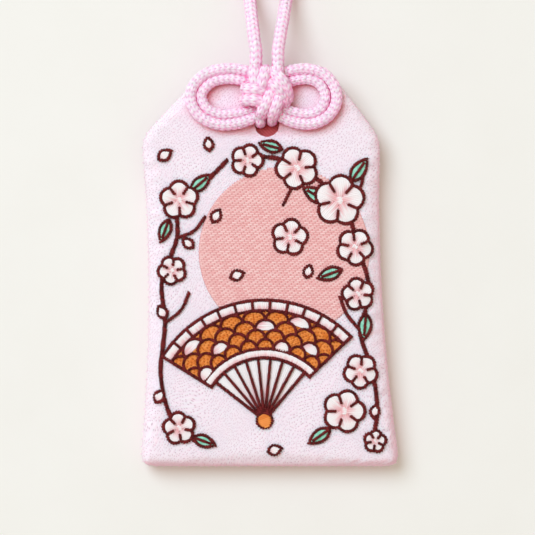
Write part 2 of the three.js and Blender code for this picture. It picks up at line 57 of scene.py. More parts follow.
# %% [markdown]
# ## Colours
# A screen stores its colours on a curve, while a shader counts light. A colour is written here as it is
# seen, as a hexadecimal sRGB value, and turned into the linear numbers that the shader wants.


# %% Colours
def rgb(text):
    channels = [int(text[start:start + 2], 16) / 255 for start in (0, 2, 4)]
    linear = [c / 12.92 if c <= 0.04045 else ((c + 0.055) / 1.055) ** 2.4 for c in channels]
    return (*linear, 1.0)


print("white is", rgb("ffffff"))

# %% [markdown]
# ## Writing node trees as Python
# Materials and Geometry Nodes are both node trees. Adding each node by hand takes many lines, so one small
# class wraps an output socket and turns Python's operators into Math nodes, and another one adds any other
# node from its type, its settings and the values of its sockets. The nodes that many trees use have short
# methods.


# %% Sockets with operators
class Wire:
    """An output socket. Arithmetic on it adds Math nodes to its tree."""

    def __init__(self, board, socket):
        self.board = board
        self.socket = socket

    def __add__(self, other):
        return self.board.math("ADD", self, other)

    def __sub__(self, other):
        return self.board.math("SUBTRACT", self, other)

    def __rsub__(self, other):
        return self.board.math("SUBTRACT", other, self)

    def __mul__(self, other):
        return self.board.math("MULTIPLY", self, other)

    def __truediv__(self, other):
        return self.board.math("DIVIDE", self, other)

    def __mod__(self, other):
        return self.board.math("FLOORED_MODULO", self, other)

    def __gt__(self, other):
        return self.board.math("GREATER_THAN", self, other)

    __radd__ = __add__
    __rmul__ = __mul__


print("sockets can be added, multiplied and compared")


# %% Boards that nodes are added to
def set_stops(ramp, stops):
    while len(ramp.elements) < len(stops):
        ramp.elements.new(0.5)
    for element, (place, colour) in zip(ramp.elements, stops):
        element.position = place
        element.color = rgb(colour)


class Board:
    """A node tree that nodes are added to."""

    def __init__(self, tree):
        self.tree = tree
        tree.nodes.clear()

    def node(self, kind, settings=None, sockets=None):
        node = self.tree.nodes.new(kind)
        for name, value in (settings or {}).items():
            if name == "stops":
                set_stops(node.color_ramp, value)
            else:
                setattr(node, name, value)
        for key, value in (sockets or {}).items():
            for item in value if isinstance(value, list) else [value]:
                self.plug(node.inputs[key], item)
        return node

    def plug(self, socket, item):
        if isinstance(item, Wire):
            self.tree.links.new(item.socket, socket)
        else:
            socket.default_value = item

    def wire(self, kind, settings=None, sockets=None, out=0):
        return Wire(self, self.node(kind, settings, sockets).outputs[out])

    def math(self, operation, *values):
        return self.wire("ShaderNodeMath", {"operation": operation}, dict(enumerate(values)))

    def vector(self, operation, *values, out="Vector"):
        return self.wire("ShaderNodeVectorMath", {"operation": operation}, dict(enumerate(values)), out)

    def scaled(self, vector, factor):
        return self.wire("ShaderNodeVectorMath", {"operation": "SCALE"}, {0: vector, "Scale": factor})

    def mix(self, factor, first, second):
        return self.wire("ShaderNodeMix", {"data_type": "RGBA"}, {0: factor, 6: first, 7: second}, out=2)

    def combined(self, x=0.0, y=0.0, z=0.0):
        return self.wire("ShaderNodeCombineXYZ", sockets={"X": x, "Y": y, "Z": z})

    def axis(self, vector, name):
        return self.wire("ShaderNodeSeparateXYZ", sockets={"Vector": vector}, out=name)

    def attribute(self, name, out="Fac"):
        return self.wire("ShaderNodeAttribute", {"attribute_name": name}, out=out)

    def place(self):
        return self.wire("ShaderNodeTexCoord", out="Object")

    def facing(self):
        return self.wire("ShaderNodeNewGeometry", out="Normal")

    def noise(self, place, scale, detail, distortion=0.0, out=0):
        return self.wire("ShaderNodeTexNoise", sockets={
            "Vector": place, "Scale": scale, "Detail": detail, "Distortion": distortion,
        }, out=out)

    def bump(self, height, strength, depth):
        return self.wire("ShaderNodeBump", sockets={
            "Strength": strength, "Distance": depth * MM, "Height": height,
        })

    def ramp(self, value, *stops):
        """A colour that runs through the stops, each a value and a hexadecimal colour."""
        return self.wire("ShaderNodeValToRGB", {"stops": stops}, {"Fac": value})

    def slope(self, value, low, high):
        """0 below low, 1 above high, and smooth between them."""
        return self.wire("ShaderNodeMapRange", {"interpolation_type": "SMOOTHSTEP"}, {
            "Value": value, "From Min": low, "From Max": high,
        })


print("node helpers ready")

# %% [markdown]
# ## Finishes
# Cloth, silk, thread, card and wood look very different, but one Principled shader can show them all. So
# each finish below is one function that gives the values of this shader's sockets, and one helper builds
# the rest of the material round them.


# %% Finishes
def finish_of(name, paint):
    material = bpy.data.materials.new(name)
    material.use_nodes = True
    board = Board(material.node_tree)
    shader = board.wire("ShaderNodeBsdfPrincipled", {"subsurface_method": "BURLEY"}, paint(board))
    board.node("ShaderNodeOutputMaterial", sockets={"Surface": shader})
    return material


print("finish helper ready")

# %% [markdown]
# ## Camera, floor and light
# The charm lies on a pale surface and the camera looks straight down on it. A long lens keeps the sides of
# the bag out of sight. One soft, cool lamp from the upper left gives the shadows to the right and below,
# and an even, warm sky fills them. Together they light a level surface to about its own colour.

# %% Camera
VIEW_WIDTH = 107 * MM
VIEW_CENTRE = Vector((0.1 * MM, 0.1 * MM, 0))
CAMERA_RISE = 0.55
SENSOR_WIDTH = 36.0
FRONT_Z = 6.2


def add_to_scene(name, data):
    thing = bpy.data.objects.new(name, data)
    bpy.context.scene.collection.objects.link(thing)
    return thing


camera = add_to_scene("camera", bpy.data.cameras.new("camera"))
camera.data.sensor_width = SENSOR_WIDTH
camera.data.lens = SENSOR_WIDTH * CAMERA_RISE / VIEW_WIDTH
camera.location = VIEW_CENTRE + Vector((0, 0, FRONT_Z * MM + CAMERA_RISE))
bpy.context.scene.camera = camera
print("lens of", round(camera.data.lens), "mm")

# %% Floor
FLOOR_HALF = 1.5
FLOOR_DROP = 0.05 * MM


def paint_floor(board):
    mottle = board.noise(board.place(), scale=60.0, detail=6.0)
    return {"Base Color": board.mix(mottle, rgb("f5f3ec"), rgb("f9f8f2")), "Roughness": 0.9}


def add_mesh(name, points, faces):
    mesh = bpy.data.meshes.new(name)
    mesh.from_pydata(points, [], faces)
    return add_to_scene(name, mesh)


corners = [(-1, -1), (1, -1), (1, 1), (-1, 1)]
floor_points = [(x * FLOOR_HALF, y * FLOOR_HALF, -FLOOR_DROP) for x, y in corners]
floor = add_mesh("floor", floor_points, [(0, 1, 2, 3)])
floor.data.materials.append(finish_of("floor_paper", paint_floor))
print("floor laid")

# %% Light
KEY_PLACE = Vector((-0.72, 0.77, 1.48))
KEY_WIDTH = 1.25
KEY_SHARE = 0.50
KEY_COLOUR = (0.86, 1.0, 1.18)
SKY_SHARE = 0.52
SKY_COLOUR = (1.12, 1.0, 0.84, 1.0)

key_lamp = bpy.data.lights.new("key", "AREA")
key_lamp.shape = "DISK"
key_lamp.size = KEY_WIDTH
key_lamp.color = KEY_COLOUR
key_lamp.energy = KEY_SHARE * math.pi ** 2 * KEY_PLACE.length ** 3 / KEY_PLACE.z
key = add_to_scene("key", key_lamp)
key.location = KEY_PLACE
key.rotation_euler = (-KEY_PLACE).to_track_quat("-Z", "Y").to_euler()

world = bpy.data.worlds.new("sky")
world.use_nodes = True
sky = Board(world.node_tree)
sky_light = sky.wire("ShaderNodeBackground", sockets={"Color": SKY_COLOUR, "Strength": SKY_SHARE})
sky.node("ShaderNodeOutputWorld", sockets={"Surface": sky_light})
bpy.context.scene.world = world
bpy.context.scene.view_settings.view_transform = "Standard"
print("lamp of", round(key_lamp.energy, 2), "watts")

# %% [markdown]
# ## The braided cord
# The cord is a round braid. Half of its yarns turn to the left and half to the right, and each passes over
# two and under two, which gives upright columns of slanted stitches. A texture on a plain tube would look
# flat at the edges, so a tree of nodes copies the cord's line once for each yarn, winds the copies round it
# and lets them rise and dip. The line of each stretch is a smooth curve through listed points.


# %% Lines through points
def smooth_line(points, spans=10):
    """Points along a centripetal Catmull-Rom curve through the given ones."""
    given = np.array(points, float)
    given = np.vstack([2 * given[0] - given[1], given, 2 * given[-1] - given[-2]])
    line = []
    for before, start, end, after in zip(given, given[1:], given[2:], given[3:]):
        pairs = ((before, start), (start, end), (end, after))
        near, span, far = [np.linalg.norm(b - a) ** 0.5 for a, b in pairs]
        leave = (start - before) / near - (end - before) / (near + span) + (end - start) / span
        arrive = (end - start) / span - (after - start) / (span + far) + (after - end) / far
        leave, arrive = leave * span, arrive * span
        for t in np.arange(spans) / spans:
            bend = 3 * (end - start) - 2 * leave - arrive
            turn = 2 * (start - end) + leave + arrive
            line.append(start + leave * t + bend * t**2 + turn * t**3)
    line.append(given[-2])
    return np.array(line)


def line_length(line):
    return float(np.linalg.norm(np.diff(line, axis=0), axis=1).sum())


def curve_of(name, lines):
    """A curve object with one straight-sided spline for each line."""
    curve = bpy.data.curves.new(name, "CURVE")
    curve.dimensions = "3D"
    for line in lines:
        spline = curve.splines.new("POLY")
        spline.points.add(len(line) - 1)
        spline.points.foreach_set("co", np.hstack([line, np.ones((len(line), 1))]).ravel())
    return add_to_scene(name, curve)


test_line = smooth_line([(0, 0, 0), (1, 1, 0), (2, 0, 0)])
print("a test line is", round(line_length(test_line), 3), "long")


# %% Trees that grow meshes
def new_tree(name, inputs):
    tree = bpy.data.node_groups.new(name, "GeometryNodeTree")
    tree.interface.new_socket("Geometry", in_out="INPUT", socket_type="NodeSocketGeometry")
    for label, kind in inputs.items():
        tree.interface.new_socket(label, in_out="INPUT", socket_type="NodeSocket" + kind)
    tree.interface.new_socket("Geometry", in_out="OUTPUT", socket_type="NodeSocketGeometry")
    board = Board(tree)
    sockets = board.node("NodeGroupInput").outputs
    return board, {socket.name: Wire(board, socket) for socket in sockets if socket.name}


def close_tree(board, geometry, material):
    """Ends a tree as the export needs it: real faces, smooth, with a material."""
    real = board.wire("GeometryNodeRealizeInstances", sockets={"Geometry": geometry})
    smooth = board.wire("GeometryNodeSetShadeSmooth", sockets={"Geometry": real})
    done = board.wire("GeometryNodeSetMaterial", sockets={"Geometry": smooth, "Material": material})
    board.node("NodeGroupOutput", sockets={"Geometry": done})
    return board.tree


def made_mesh(source):
    """The mesh that an object becomes under its modifiers."""
    graph = bpy.context.evaluated_depsgraph_get()
    return bpy.data.meshes.new_from_object(
        source.evaluated_get(graph), preserve_all_data_layers=True, depsgraph=graph
    )


def keep_piece(name, mesh):
    mesh.name = name
    print(name, "has", len(mesh.polygons), "faces")
    return add_to_scene(name, mesh)


def grow(name, source, tree, values):
    """Runs a tree on a source object and keeps the result as a plain mesh piece."""
    modifier = source.modifiers.new(name, "NODES")
    modifier.node_group = tree
    names = {item.name: item.identifier for item in tree.interface.items_tree if item.in_out == "INPUT"}
    for label, value in values.items():
        modifier[names[label]] = value
    mesh = made_mesh(source)
    bpy.data.objects.remove(source)
    return keep_piece(name, mesh)


print("tree helpers ready")


# %% Values and sections in a tree
def with_value(board, geometry, name, value, kind="FLOAT", domain="POINT"):
    """The geometry with a value kept on it under a name."""
    return board.wire("GeometryNodeStoreNamedAttribute", {"data_type": kind, "domain": domain}, {
        "Geometry": geometry, "Name": name, "Value": value,
    })


def kept_vector(board, name):
    return board.wire("GeometryNodeInputNamedAttribute", {"data_type": "FLOAT_VECTOR"}, {"Name": name})


def chance(board, seed, low=0.0, high=1.0):
    """A random number for each element."""
    return board.wire("FunctionNodeRandomValue", {"data_type": "FLOAT"}, {
        "Min": low, "Max": high, "Seed": seed,
    }, out=1)


def ring_section(board, sides, radius):
    return board.wire("GeometryNodeCurvePrimitiveCircle", sockets={"Resolution": sides, "Radius": radius})


def oval_section(board, width, height):
    """A flat section with few sides, for a yarn or a thread."""
    return board.wire("GeometryNodeTransform", sockets={
        "Geometry": ring_section(board, sides=6, radius=0.5), "Scale": board.combined(width, height, 1.0),
    })


def tube(board, lines, section):
    return board.wire("GeometryNodeCurveToMesh", sockets={
        "Curve": lines, "Profile Curve": section, "Fill Caps": True,
    })


print("section helpers ready")

# %% Braid tree
TURN = 2 * math.pi
CORE_SIDES = 12
# The core counts as a low yarn, so it takes the painted groove shade and darkens the gaps between yarns
CORE_HEIGHT = -0.6


def braid_tree():
    board, given = new_tree("round_braid", {
        "Yarns": "Int", "Cord Radius": "Float", "Lead": "Float", "Yarn Width": "Float",
        "Yarn Thickness": "Float", "Wave": "Float", "Step": "Float", "Material": "Material",
    })
    line = board.wire("GeometryNodeResampleCurve", {"mode": "LENGTH"}, {
        "Curve": given["Geometry"], "Length": given["Step"],
    })
    line = board.wire("GeometryNodeSetCurveNormal", {"mode": "MINIMUM_TWIST"}, {"Curve": line})

    copies = board.node("GeometryNodeDuplicateElements", {"domain": "SPLINE"}, {
        "Geometry": line, "Amount": given["Yarns"],
    })
    index = Wire(board, copies.outputs["Duplicate Index"])
    each_way = given["Yarns"] / 2
    hand = 1 - 2 * (index > each_way - 0.5)
    along = board.wire("GeometryNodeSplineParameter", out="Length")
    angle = hand * along * TURN / given["Lead"] + index % each_way * TURN / each_way
    over = hand * board.math("COSINE", angle * each_way / 2)

    outward = board.wire("GeometryNodeInputNormal")
    sideways = board.vector("CROSS_PRODUCT", board.wire("GeometryNodeInputTangent"), outward)
    radial = board.vector(
        "ADD",
        board.scaled(outward, board.math("COSINE", angle)),
        board.scaled(sideways, board.math("SINE", angle)),
    )
    yarns = Wire(board, copies.outputs["Geometry"])
    yarns = with_value(board, yarns, "over", over)
    yarns = with_value(board, yarns, "radial", radial, "FLOAT_VECTOR")
    stored = kept_vector(board, "radial")
    reach = given["Cord Radius"] - given["Yarn Thickness"] / 2 - given["Wave"] * (1 - over)
    yarns = board.wire("GeometryNodeSetPosition", sockets={
        "Geometry": yarns, "Offset": board.scaled(stored, reach),
    })
    yarns = board.wire("GeometryNodeSetCurveNormal", {"mode": "FREE"}, {"Curve": yarns, "Normal": stored})
    yarn_mesh = tube(board, yarns, oval_section(board, given["Yarn Thickness"], given["Yarn Width"]))

    core_radius = given["Cord Radius"] - given["Yarn Thickness"] - given["Wave"]
    core = tube(board, line, ring_section(board, CORE_SIDES, core_radius))
    core = with_value(board, core, "over", CORE_HEIGHT)
    whole = board.wire("GeometryNodeJoinGeometry", sockets={"Geometry": [yarn_mesh, core]})
    return close_tree(board, whole, given["Material"])


round_braid = braid_tree()
print("braid tree has", len(round_braid.nodes), "nodes")

# %% [markdown]
# ### The braid's finish
# The yarn is pale pink silk. Its colour carries painted light and shade: the tops of the yarns are painted
# near white, and where a yarn dips under its neighbours and on the sides turned from the lamp it is painted
# pinker, as if the light there had passed through pink thread. The crease between two cords, where even the
# high yarns are shut in, gets a painted hot pink shade. The tree stores how high each point of a yarn rides
# and which way is out of the cord, and the painted light and shade follow both. A fine bump gives the
# filaments.

# %% Braid finish
SHUT_IN_REACH = 3.0 * MM


def hollow(board, reach, side=(0.0, 0.0, 0.0)):
    """How shut in a point is: 0 in the open and 1 deep in a crease. One side can count most."""
    leaning = board.vector("NORMALIZE", board.vector("ADD", board.facing(), side))
    return 1 - board.wire("ShaderNodeAmbientOcclusion", {"samples": 6}, {
        "Distance": reach, "Normal": leaning,
    }, out="AO")


def turned_away(board, direction):
    """How far a direction turns from the lamp: 0 towards it and 1 or more across it and behind."""
    return 1 - board.vector("DOT_PRODUCT", direction, KEY_PLACE.normalized(), out="Value")


def paint_braid(board):
    height = board.attribute("over") * 0.5 + 0.5
    fibres = board.noise(board.place(), scale=9000.0, detail=2.0)
    # Painted highlight and shade: the tops of the yarns are near white, and where they dip under their
    # neighbours darker pink
    silk = board.ramp(
        height + (fibres - 0.5) * 0.16, (0.0, "de9bc7"), (0.3, "eebbdc"), (0.6, "f6d6eb"), (1.0, "fcf0f9"),
    )
    # Painted shade: the sides of the cord and of each yarn that turn from the lamp are mixed towards pink
    outward = board.attribute("radial", "Vector")
    cord_side = board.slope(turned_away(board, outward), 0.2, 1.1)
    yarn_side = board.slope(turned_away(board, board.facing()), 0.3, 1.2)
    leaning = board.mix(cord_side * 0.4 + yarn_side * 0.4, silk, rgb("f8b0da"))
    # Painted crease shade: hot pink where the cords shut each other in
    shut_in = hollow(board, SHUT_IN_REACH)
    painted_shade_colour = board.ramp(shut_in, (0.0, "ffb4dc"), (0.6, "ff8cc8"), (1.0, "ff5cb0"))
    in_crease = board.slope(shut_in, 0.45, 0.85) * board.slope(height, 0.05, 0.4)
    bump = board.bump(fibres, strength=0.25, depth=0.05)
    return {
        "Base Color": board.mix(in_crease, leaning, painted_shade_colour), "Roughness": 0.62,
        "Normal": bump, "Specular IOR Level": 0.25,
        "Subsurface Weight": 0.4, "Subsurface Radius": (1.0, 0.3, 0.6), "Subsurface Scale": 1.4 * MM,
        "Sheen Weight": 0.3, "Sheen Roughness": 0.4, "Sheen Tint": rgb("ff9fd4"),
    }


silk_braid = finish_of("silk_braid", paint_braid)
print("finish", silk_braid.name)

# %% Cord stretches
CORD_RADIUS = 1.25 * MM
STITCH_LENGTH = 1.1 * MM
COARSE = 16
FINE = 24
YARN_OVERLAP = 1.23
YARN_FLATNESS = 0.45
YARN_WAVE = 0.145
STEPS_PER_STITCH = 5
KNOT_PLACE = np.array([0.0, 34.1, FRONT_Z])


def from_knot(points):
    """Points measured from the knot's middle on the front of the bag, in metres in the frame."""
    return (np.array(points, float) + KNOT_PLACE) * MM


def braid(name, lines, radius=CORD_RADIUS, yarns=COARSE):
    """A stretch of braid whose yarns are as wide as the room round the cord asks for."""
    lead = STITCH_LENGTH * yarns / 2
    lean = math.atan(TURN * radius / lead)
    yarn_width = YARN_OVERLAP * 2 * TURN * radius / yarns * math.cos(lean)
    piece = grow(name, curve_of(name, lines), round_braid, {
        "Yarns": yarns, "Cord Radius": radius, "Lead": lead, "Yarn Width": yarn_width,
        "Yarn Thickness": YARN_FLATNESS * yarn_width, "Wave": YARN_WAVE * yarn_width,
        "Step": STITCH_LENGTH / STEPS_PER_STITCH, "Material": silk_braid,
    })
    return piece


print("the knot lies at", KNOT_PLACE, "mm")

# %% [markdown]
# ### The hanging strands
# Two strands leave the knot over the top of the neck, come down to the surface and run on out of the
# picture. A simulation of ropes could lay them, but the picture shows how they leave the knot, so their
# points are listed. Just beyond the neck the loop folds on the bag: there each strand is bent
# between the two bodies, and doesn't ride on one of them.

# %% Hanging strands
# How high a cord's axis lies above the front of the bag: on the cloth, and on the floor
FACE = 1.45
LAY = FACE - FRONT_Z
HINGE_RISE = 9.0
HINGE_LIFT = 2.7
strand_routes = {
    "left": [
        (-2.1, 0.6, 1.6), (-2.15, 2.0, 1.7), (-2.2, 3.6, 1.8), (-2.2, 5.2, 2.2), (-2.2, 6.9, HINGE_LIFT),
        (-2.2, HINGE_RISE, HINGE_LIFT), (-2.6, 12.0, 1.9), (-3.0, 15.5, 0.1), (-3.4, 19.4, -2.2),
        (-4.1, 24.0, -4.1), (-5.0, 29.0, LAY), (-6.0, 36.0, LAY), (-6.3, 44.0, LAY), (-5.7, 52.0, LAY),
        (-4.2, 60.0, LAY), (-2.4, 66.0, LAY), (-1.6, 69.6, LAY), (-1.4, 72.0, LAY),
    ],
    "right": [
        (1.8, 2.4, 1.7), (2.0, 3.8, 2.0), (2.15, 5.0, 2.5), (2.2, 6.5, HINGE_LIFT),
        (2.2, HINGE_RISE, HINGE_LIFT), (2.6, 12.0, 1.9), (3.2, 15.5, 0.1), (3.8, 19.4, -2.2),
        (4.6, 24.0, -4.1), (5.6, 29.0, LAY), (6.7, 36.0, LAY), (7.0, 44.0, LAY), (6.3, 52.0, LAY),
        (4.6, 60.0, LAY), (2.6, 66.0, LAY), (1.6, 69.6, LAY), (1.4, 72.0, LAY),
    ],
}
STRAND_RADIUS = 1.32 * MM

for side, route in strand_routes.items():
    line = smooth_line(from_knot(route))
    strand = braid(side + "_hanging_strand", [line], STRAND_RADIUS)
    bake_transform(strand)
    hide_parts(side + "_strand")
    print(side, "strand is", round(line_length(line) / MM, 1), "mm long")

# %% [markdown]
# ### The end knot and its tails
# Out of the picture the two strands are tied together in one round knot, so that the loop can hang on a bag
# or a hook, and the cut tails stand out beyond it. The knot is the same braid, wound twice round both
# strands.

# %% End knot and tails
END_KNOT_RISE = 73.3
END_KNOT_TURNS = 1.9
END_KNOT_START = 0.6
END_KNOT_HALF_WIDTH = 2.35
END_KNOT_HALF_HEIGHT = 1.1
END_KNOT_LIFT = 1.0
END_KNOT_CLIMB = 2.2
END_KNOT_RADIUS = 1.1 * MM
turns = np.linspace(-0.5, 0.5, 48) * END_KNOT_TURNS
angles = TURN * turns + END_KNOT_START
end_knot_line = np.column_stack([
    END_KNOT_HALF_WIDTH * np.cos(angles),
    END_KNOT_RISE + END_KNOT_CLIMB * turns,
    LAY + END_KNOT_LIFT + END_KNOT_HALF_HEIGHT * np.sin(angles),
])
end_knot_coil = braid("end_knot_coil", [from_knot(end_knot_line)], END_KNOT_RADIUS)
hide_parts("end_knot")
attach(end_knot_coil, "strap")

tail_routes = {
    "left": [(-1.4, 0.0, LAY), (-2.0, 3.0, LAY), (-3.1, 6.0, LAY), (-3.8, 9.0, LAY)],
    "right": [(1.4, 0.0, LAY), (1.8, 3.0, LAY), (2.3, 5.5, LAY), (3.6, 8.4, LAY)],
}
for side, route in tail_routes.items():
    placed = [(x, y + END_KNOT_RISE, z) for x, y, z in route]
    tail = braid(side + "_cord_tail", [smooth_line(from_knot(placed))])
    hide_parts(side + "_tail")
    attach(tail, "strap")

# %% [markdown]
# ### The knot and its loops
# The cord leaves the hole, makes two loops on each side of the neck and crosses itself in the middle. Each
# crossing is a short band of braid that passes over the front and dives under the next band. The bands
# touch and press on each other, as tied cord does, so they make one piece.

# %% Knot bands
BAND_RADIUS = 1.3 * MM
knot_bands = [
    [
        (-2.5, 5.3, 2.0), (-2.5, 5.4, 3.0), (-2.45, 4.6, 3.7), (-2.4, 3.2, 3.8), (-2.2, 1.8, 3.1),
        (-2.1, 0.6, 2.1),
    ],
    [(2.06, 5.3, 2.1), (2.06, 5.4, 3.0), (2.06, 4.6, 3.5), (2.0, 3.4, 3.2), (1.9, 2.2, 2.2)],
    [
        (0.2, 2.6, FACE), (-0.1, 4.4, 1.6), (-0.3, 5.2, 2.8), (-0.45, 4.6, 3.9), (-0.75, 3.2, 4.3),
        (-1.05, 1.5, 3.5), (-1.4, 0.2, 2.2),
    ],
    [
        (-1.9, 1.4, FACE), (-3.7, 1.5, 1.6), (-4.2, 1.5, 2.7), (-3.5, 1.4, 3.8), (-2.1, 1.3, 4.1),
        (-0.8, 0.9, 3.4), (0.4, 0.3, 2.2),
    ],
    [
        (-1.9, -0.7, FACE), (-3.8, -0.7, 1.6), (-4.3, -0.7, 2.7), (-3.6, -0.7, 3.8), (-2.3, -0.8, 4.1),
        (-1.1, -1.2, 3.4), (0.1, -1.6, 2.3),
    ],
    [
        (1.2, 1.6, 2.2), (0.7, 0.9, 3.3), (0.2, -0.6, 4.0), (-0.6, -2.3, 3.8), (-1.0, -3.2, 2.8),
        (-0.9, -3.3, 1.7), (-0.4, -2.2, FACE),
    ],
    [(3.0, 0.8, 2.2), (2.4, 0.0, 3.3), (1.9, -1.6, 4.0), (1.3, -3.1, 3.4), (1.0, -3.8, 2.3)],
    [
        (-0.4, 3.2, 2.0), (0.4, 2.8, 3.3), (1.5, 2.1, 4.1), (2.6, 0.9, 3.9), (3.3, -0.4, 3.0),
        (3.6, -1.2, 1.8),
    ],
    [
        (0.4, 5.0, 2.0), (1.1, 4.6, 3.2), (2.4, 3.7, 3.9), (3.5, 2.3, 3.8), (4.0, 0.7, 3.0),
        (4.1, -0.5, 1.8),
    ],
]
band_lines = [smooth_line(from_knot(points)) for points in knot_bands]
knot = braid("knot_bands", band_lines, BAND_RADIUS, FINE)
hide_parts("cross_knot")
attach(knot, "bag")

# %% Loops
LOOP_SIZES = {"outer": (1.22, 1.30), "inner": (1.13, 1.17)}
loop_routes = {
    "left_outer_loop": [
        (-1.4, 4.0), (-2.8, 4.7), (-5.0, 5.4), (-8.2, 5.65), (-12.2, 4.6), (-14.8, 2.0), (-15.2, -0.7),
        (-13.6, -3.6), (-10.0, -5.4), (-6.2, -5.3), (-3.6, -4.5), (-2.2, -3.6), (-1.4, -2.6),
    ],
    "left_inner_loop": [
        (-0.6, 1.8), (-2.6, 2.5), (-5.2, 3.4), (-8.2, 3.65), (-11.2, 2.85), (-13.1, 0.4),
        (-12.1, -2.15), (-9.4, -3.4), (-5.8, -3.2), (-3.0, -2.4), (-1.2, -1.6),
    ],
    "right_outer_loop": [
        (1.6, 4.0), (3.1, 4.7), (5.2, 5.35), (8.0, 5.6), (11.3, 4.6), (13.5, 1.9), (13.8, -1.1),
        (12.2, -3.8), (9.2, -5.3), (6.0, -5.2), (3.8, -4.4), (2.6, -3.6), (1.9, -2.6),
    ],
    "right_inner_loop": [
        (1.0, 1.8), (3.0, 2.5), (5.4, 3.3), (8.0, 3.6), (10.4, 2.7), (11.65, 0.2), (10.8, -2.25),
        (8.6, -3.35), (5.8, -3.15), (3.4, -2.3), (1.6, -1.4),
    ],
}
for node, route in loop_routes.items():
    radius, rise = LOOP_SIZES[node.split("_")[1]]
    line = smooth_line(from_knot([(x, y, rise) for x, y in route]))
    loop = braid(node + "_braid", [line], radius * MM, FINE)
    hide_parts(node)
    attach(loop, "bag")

# %% Neck wraps
WRAP_RADIUS = 1.12 * MM
WRAP_TOP_X = 2.2
wrap_places = {"left": (-1.35, -5.0), "right": (1.0, -4.65)}


def neck_wrap(x, hole):
    """Out of the knot, through the hole, up the back of the neck and over its top, under a strand."""
    top = math.copysign(WRAP_TOP_X, x)
    return [
        (x, hole + 1.3, 1.7), (x, hole + 0.3, 1.1), (x, hole, 0.0), (x, hole, -1.5), (x, hole, -3.0),
        (x, hole + 0.5, -3.95), (0.9 * x + 0.1 * top, -2.75, -4.3), (0.6 * x + 0.4 * top, 0.0, -4.3),
        (0.1 * x + 0.9 * top, 3.8, -4.3), (top, 5.6, -4.3), (top, 6.45, -3.6), (top, 6.7, -2.5),
        (top, 6.7, -0.8), (top, 6.45, 0.5), (top, 5.7, 1.2), (top, 4.2, 1.2),
    ]


for side, (x, hole) in wrap_places.items():
    wrap = braid(side + "_neck_cord", [smooth_line(from_knot(neck_wrap(x, hole)))], WRAP_RADIUS)
    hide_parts(side + "_neck_wrap")
    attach(wrap, "bag")

# %% [markdown]
# ## The bag's outline
# The bag is cut as a tall shape with folded-in shoulders, and its sides pull in a little between the
# corners. Its edge is a short list of corners and two curved sides, softened along its whole length as a
# sewn edge is.

# %% Outline
TOP_Y = 39.5
BOTTOM_Y = -39.5
SHOULDER_Y = 26.1
TOP_HALF_WIDTH = 12.5
SIDES = {-1: (25.2, 23.8, 25.5), 1: (22.7, 23.2, 26.7)}
HEM_DROP = 0.35
EDGE_STEP = 0.4
EDGE_SOFTNESS = 1.8


def half_width(side, y):
    """Half width of the straight part at a height, from its shoulder, waist and base."""
    shoulder, waist, base = SIDES[side]
    t = np.clip((y - BOTTOM_Y) / (SHOULDER_Y - BOTTOM_Y), 0, 1)
    pull = 2 * waist - (shoulder + base) / 2
    return base * (1 - t) ** 2 + 2 * pull * t * (1 - t) + shoulder * t**2


def walk(points, step):
    """Points at even steps along a closed line."""
    ring = np.vstack([points, points[:1]])
    lengths = np.concatenate([[0], np.cumsum(np.linalg.norm(np.diff(ring, axis=0), axis=1))])
    places = np.linspace(0, lengths[-1], int(lengths[-1] / step), endpoint=False)
    return np.column_stack([np.interp(places, lengths, ring[:, axis]) for axis in (0, 1)])


def bag_outline():
    heights = np.linspace(BOTTOM_Y - HEM_DROP, SHOULDER_Y, 30)
    right = np.column_stack([half_width(1, heights), heights])
    left = np.column_stack([-half_width(-1, heights), heights])[::-1]
    top = np.array([(TOP_HALF_WIDTH, TOP_Y), (-TOP_HALF_WIDTH, TOP_Y)])
    ring = walk(np.vstack([right, top, left]), EDGE_STEP)
    reach = int(3 * EDGE_SOFTNESS / EDGE_STEP)
    shifts = np.arange(-reach, reach + 1)
    weights = np.exp(-0.5 * (shifts * EDGE_STEP / EDGE_SOFTNESS) ** 2)
    weights /= weights.sum()
    return sum(np.roll(ring, shift, axis=0) * weight for shift, weight in zip(shifts, weights))


outline = bag_outline()
print("outline of", len(outline), "points, size", np.ptp(outline, axis=0).round(1), "mm")

# %% [markdown]
# ## Cloth panels
# Each layer of the bag is a panel of this outline. A panel is a grid of quads that is squeezed between the
# left and the right edge, row by row, with closer rows and columns near the edge, where the cloth rolls
# over. Its height is a formula of the distance to the edge. Real thickness comes from Solidify and the cord
# hole from a Boolean, because a sheet with no thickness would show its inside.

# %% Panel grid
GRID_STEP = 0.62
ROLL = 1.8
ROLL_STEPS = 8
BAG_WIDTH = 50.0
HAIR = 0.01


def crossings(ring, level):
    """Where a closed line crosses a level height, from left to right."""
    ends = np.roll(ring, -1, axis=0)
    hit = (ring[:, 1] > level) != (ends[:, 1] > level)
    low, high = ring[hit], ends[hit]
    return np.sort(low[:, 0] + (level - low[:, 1]) * (high[:, 0] - low[:, 0]) / (high[:, 1] - low[:, 1]))


def spread(low, high, roll, step):
    """Places from low to high, crowded at both ends so that a round edge gets even steps."""
    rolled = roll * (1 - np.cos(np.linspace(0, math.pi / 2, ROLL_STEPS, endpoint=False)))
    middle = np.linspace(low + roll, high - roll, int((high - low - 2 * roll) / step))
    return np.concatenate([low + rolled, middle, (high - rolled)[::-1]])


def edge_distance(points):
    """Distance of each point to the outline, where a point within a hair of it counts as on it."""
    along = np.roll(outline, -1, axis=0) - outline
    offsets = points[:, None] - outline[None]
    share = np.clip((offsets * along).sum(2) / (along**2).sum(1), 0, 1)
    return np.maximum(np.linalg.norm(offsets - share[..., None] * along, axis=2).min(1) - HAIR, 0)


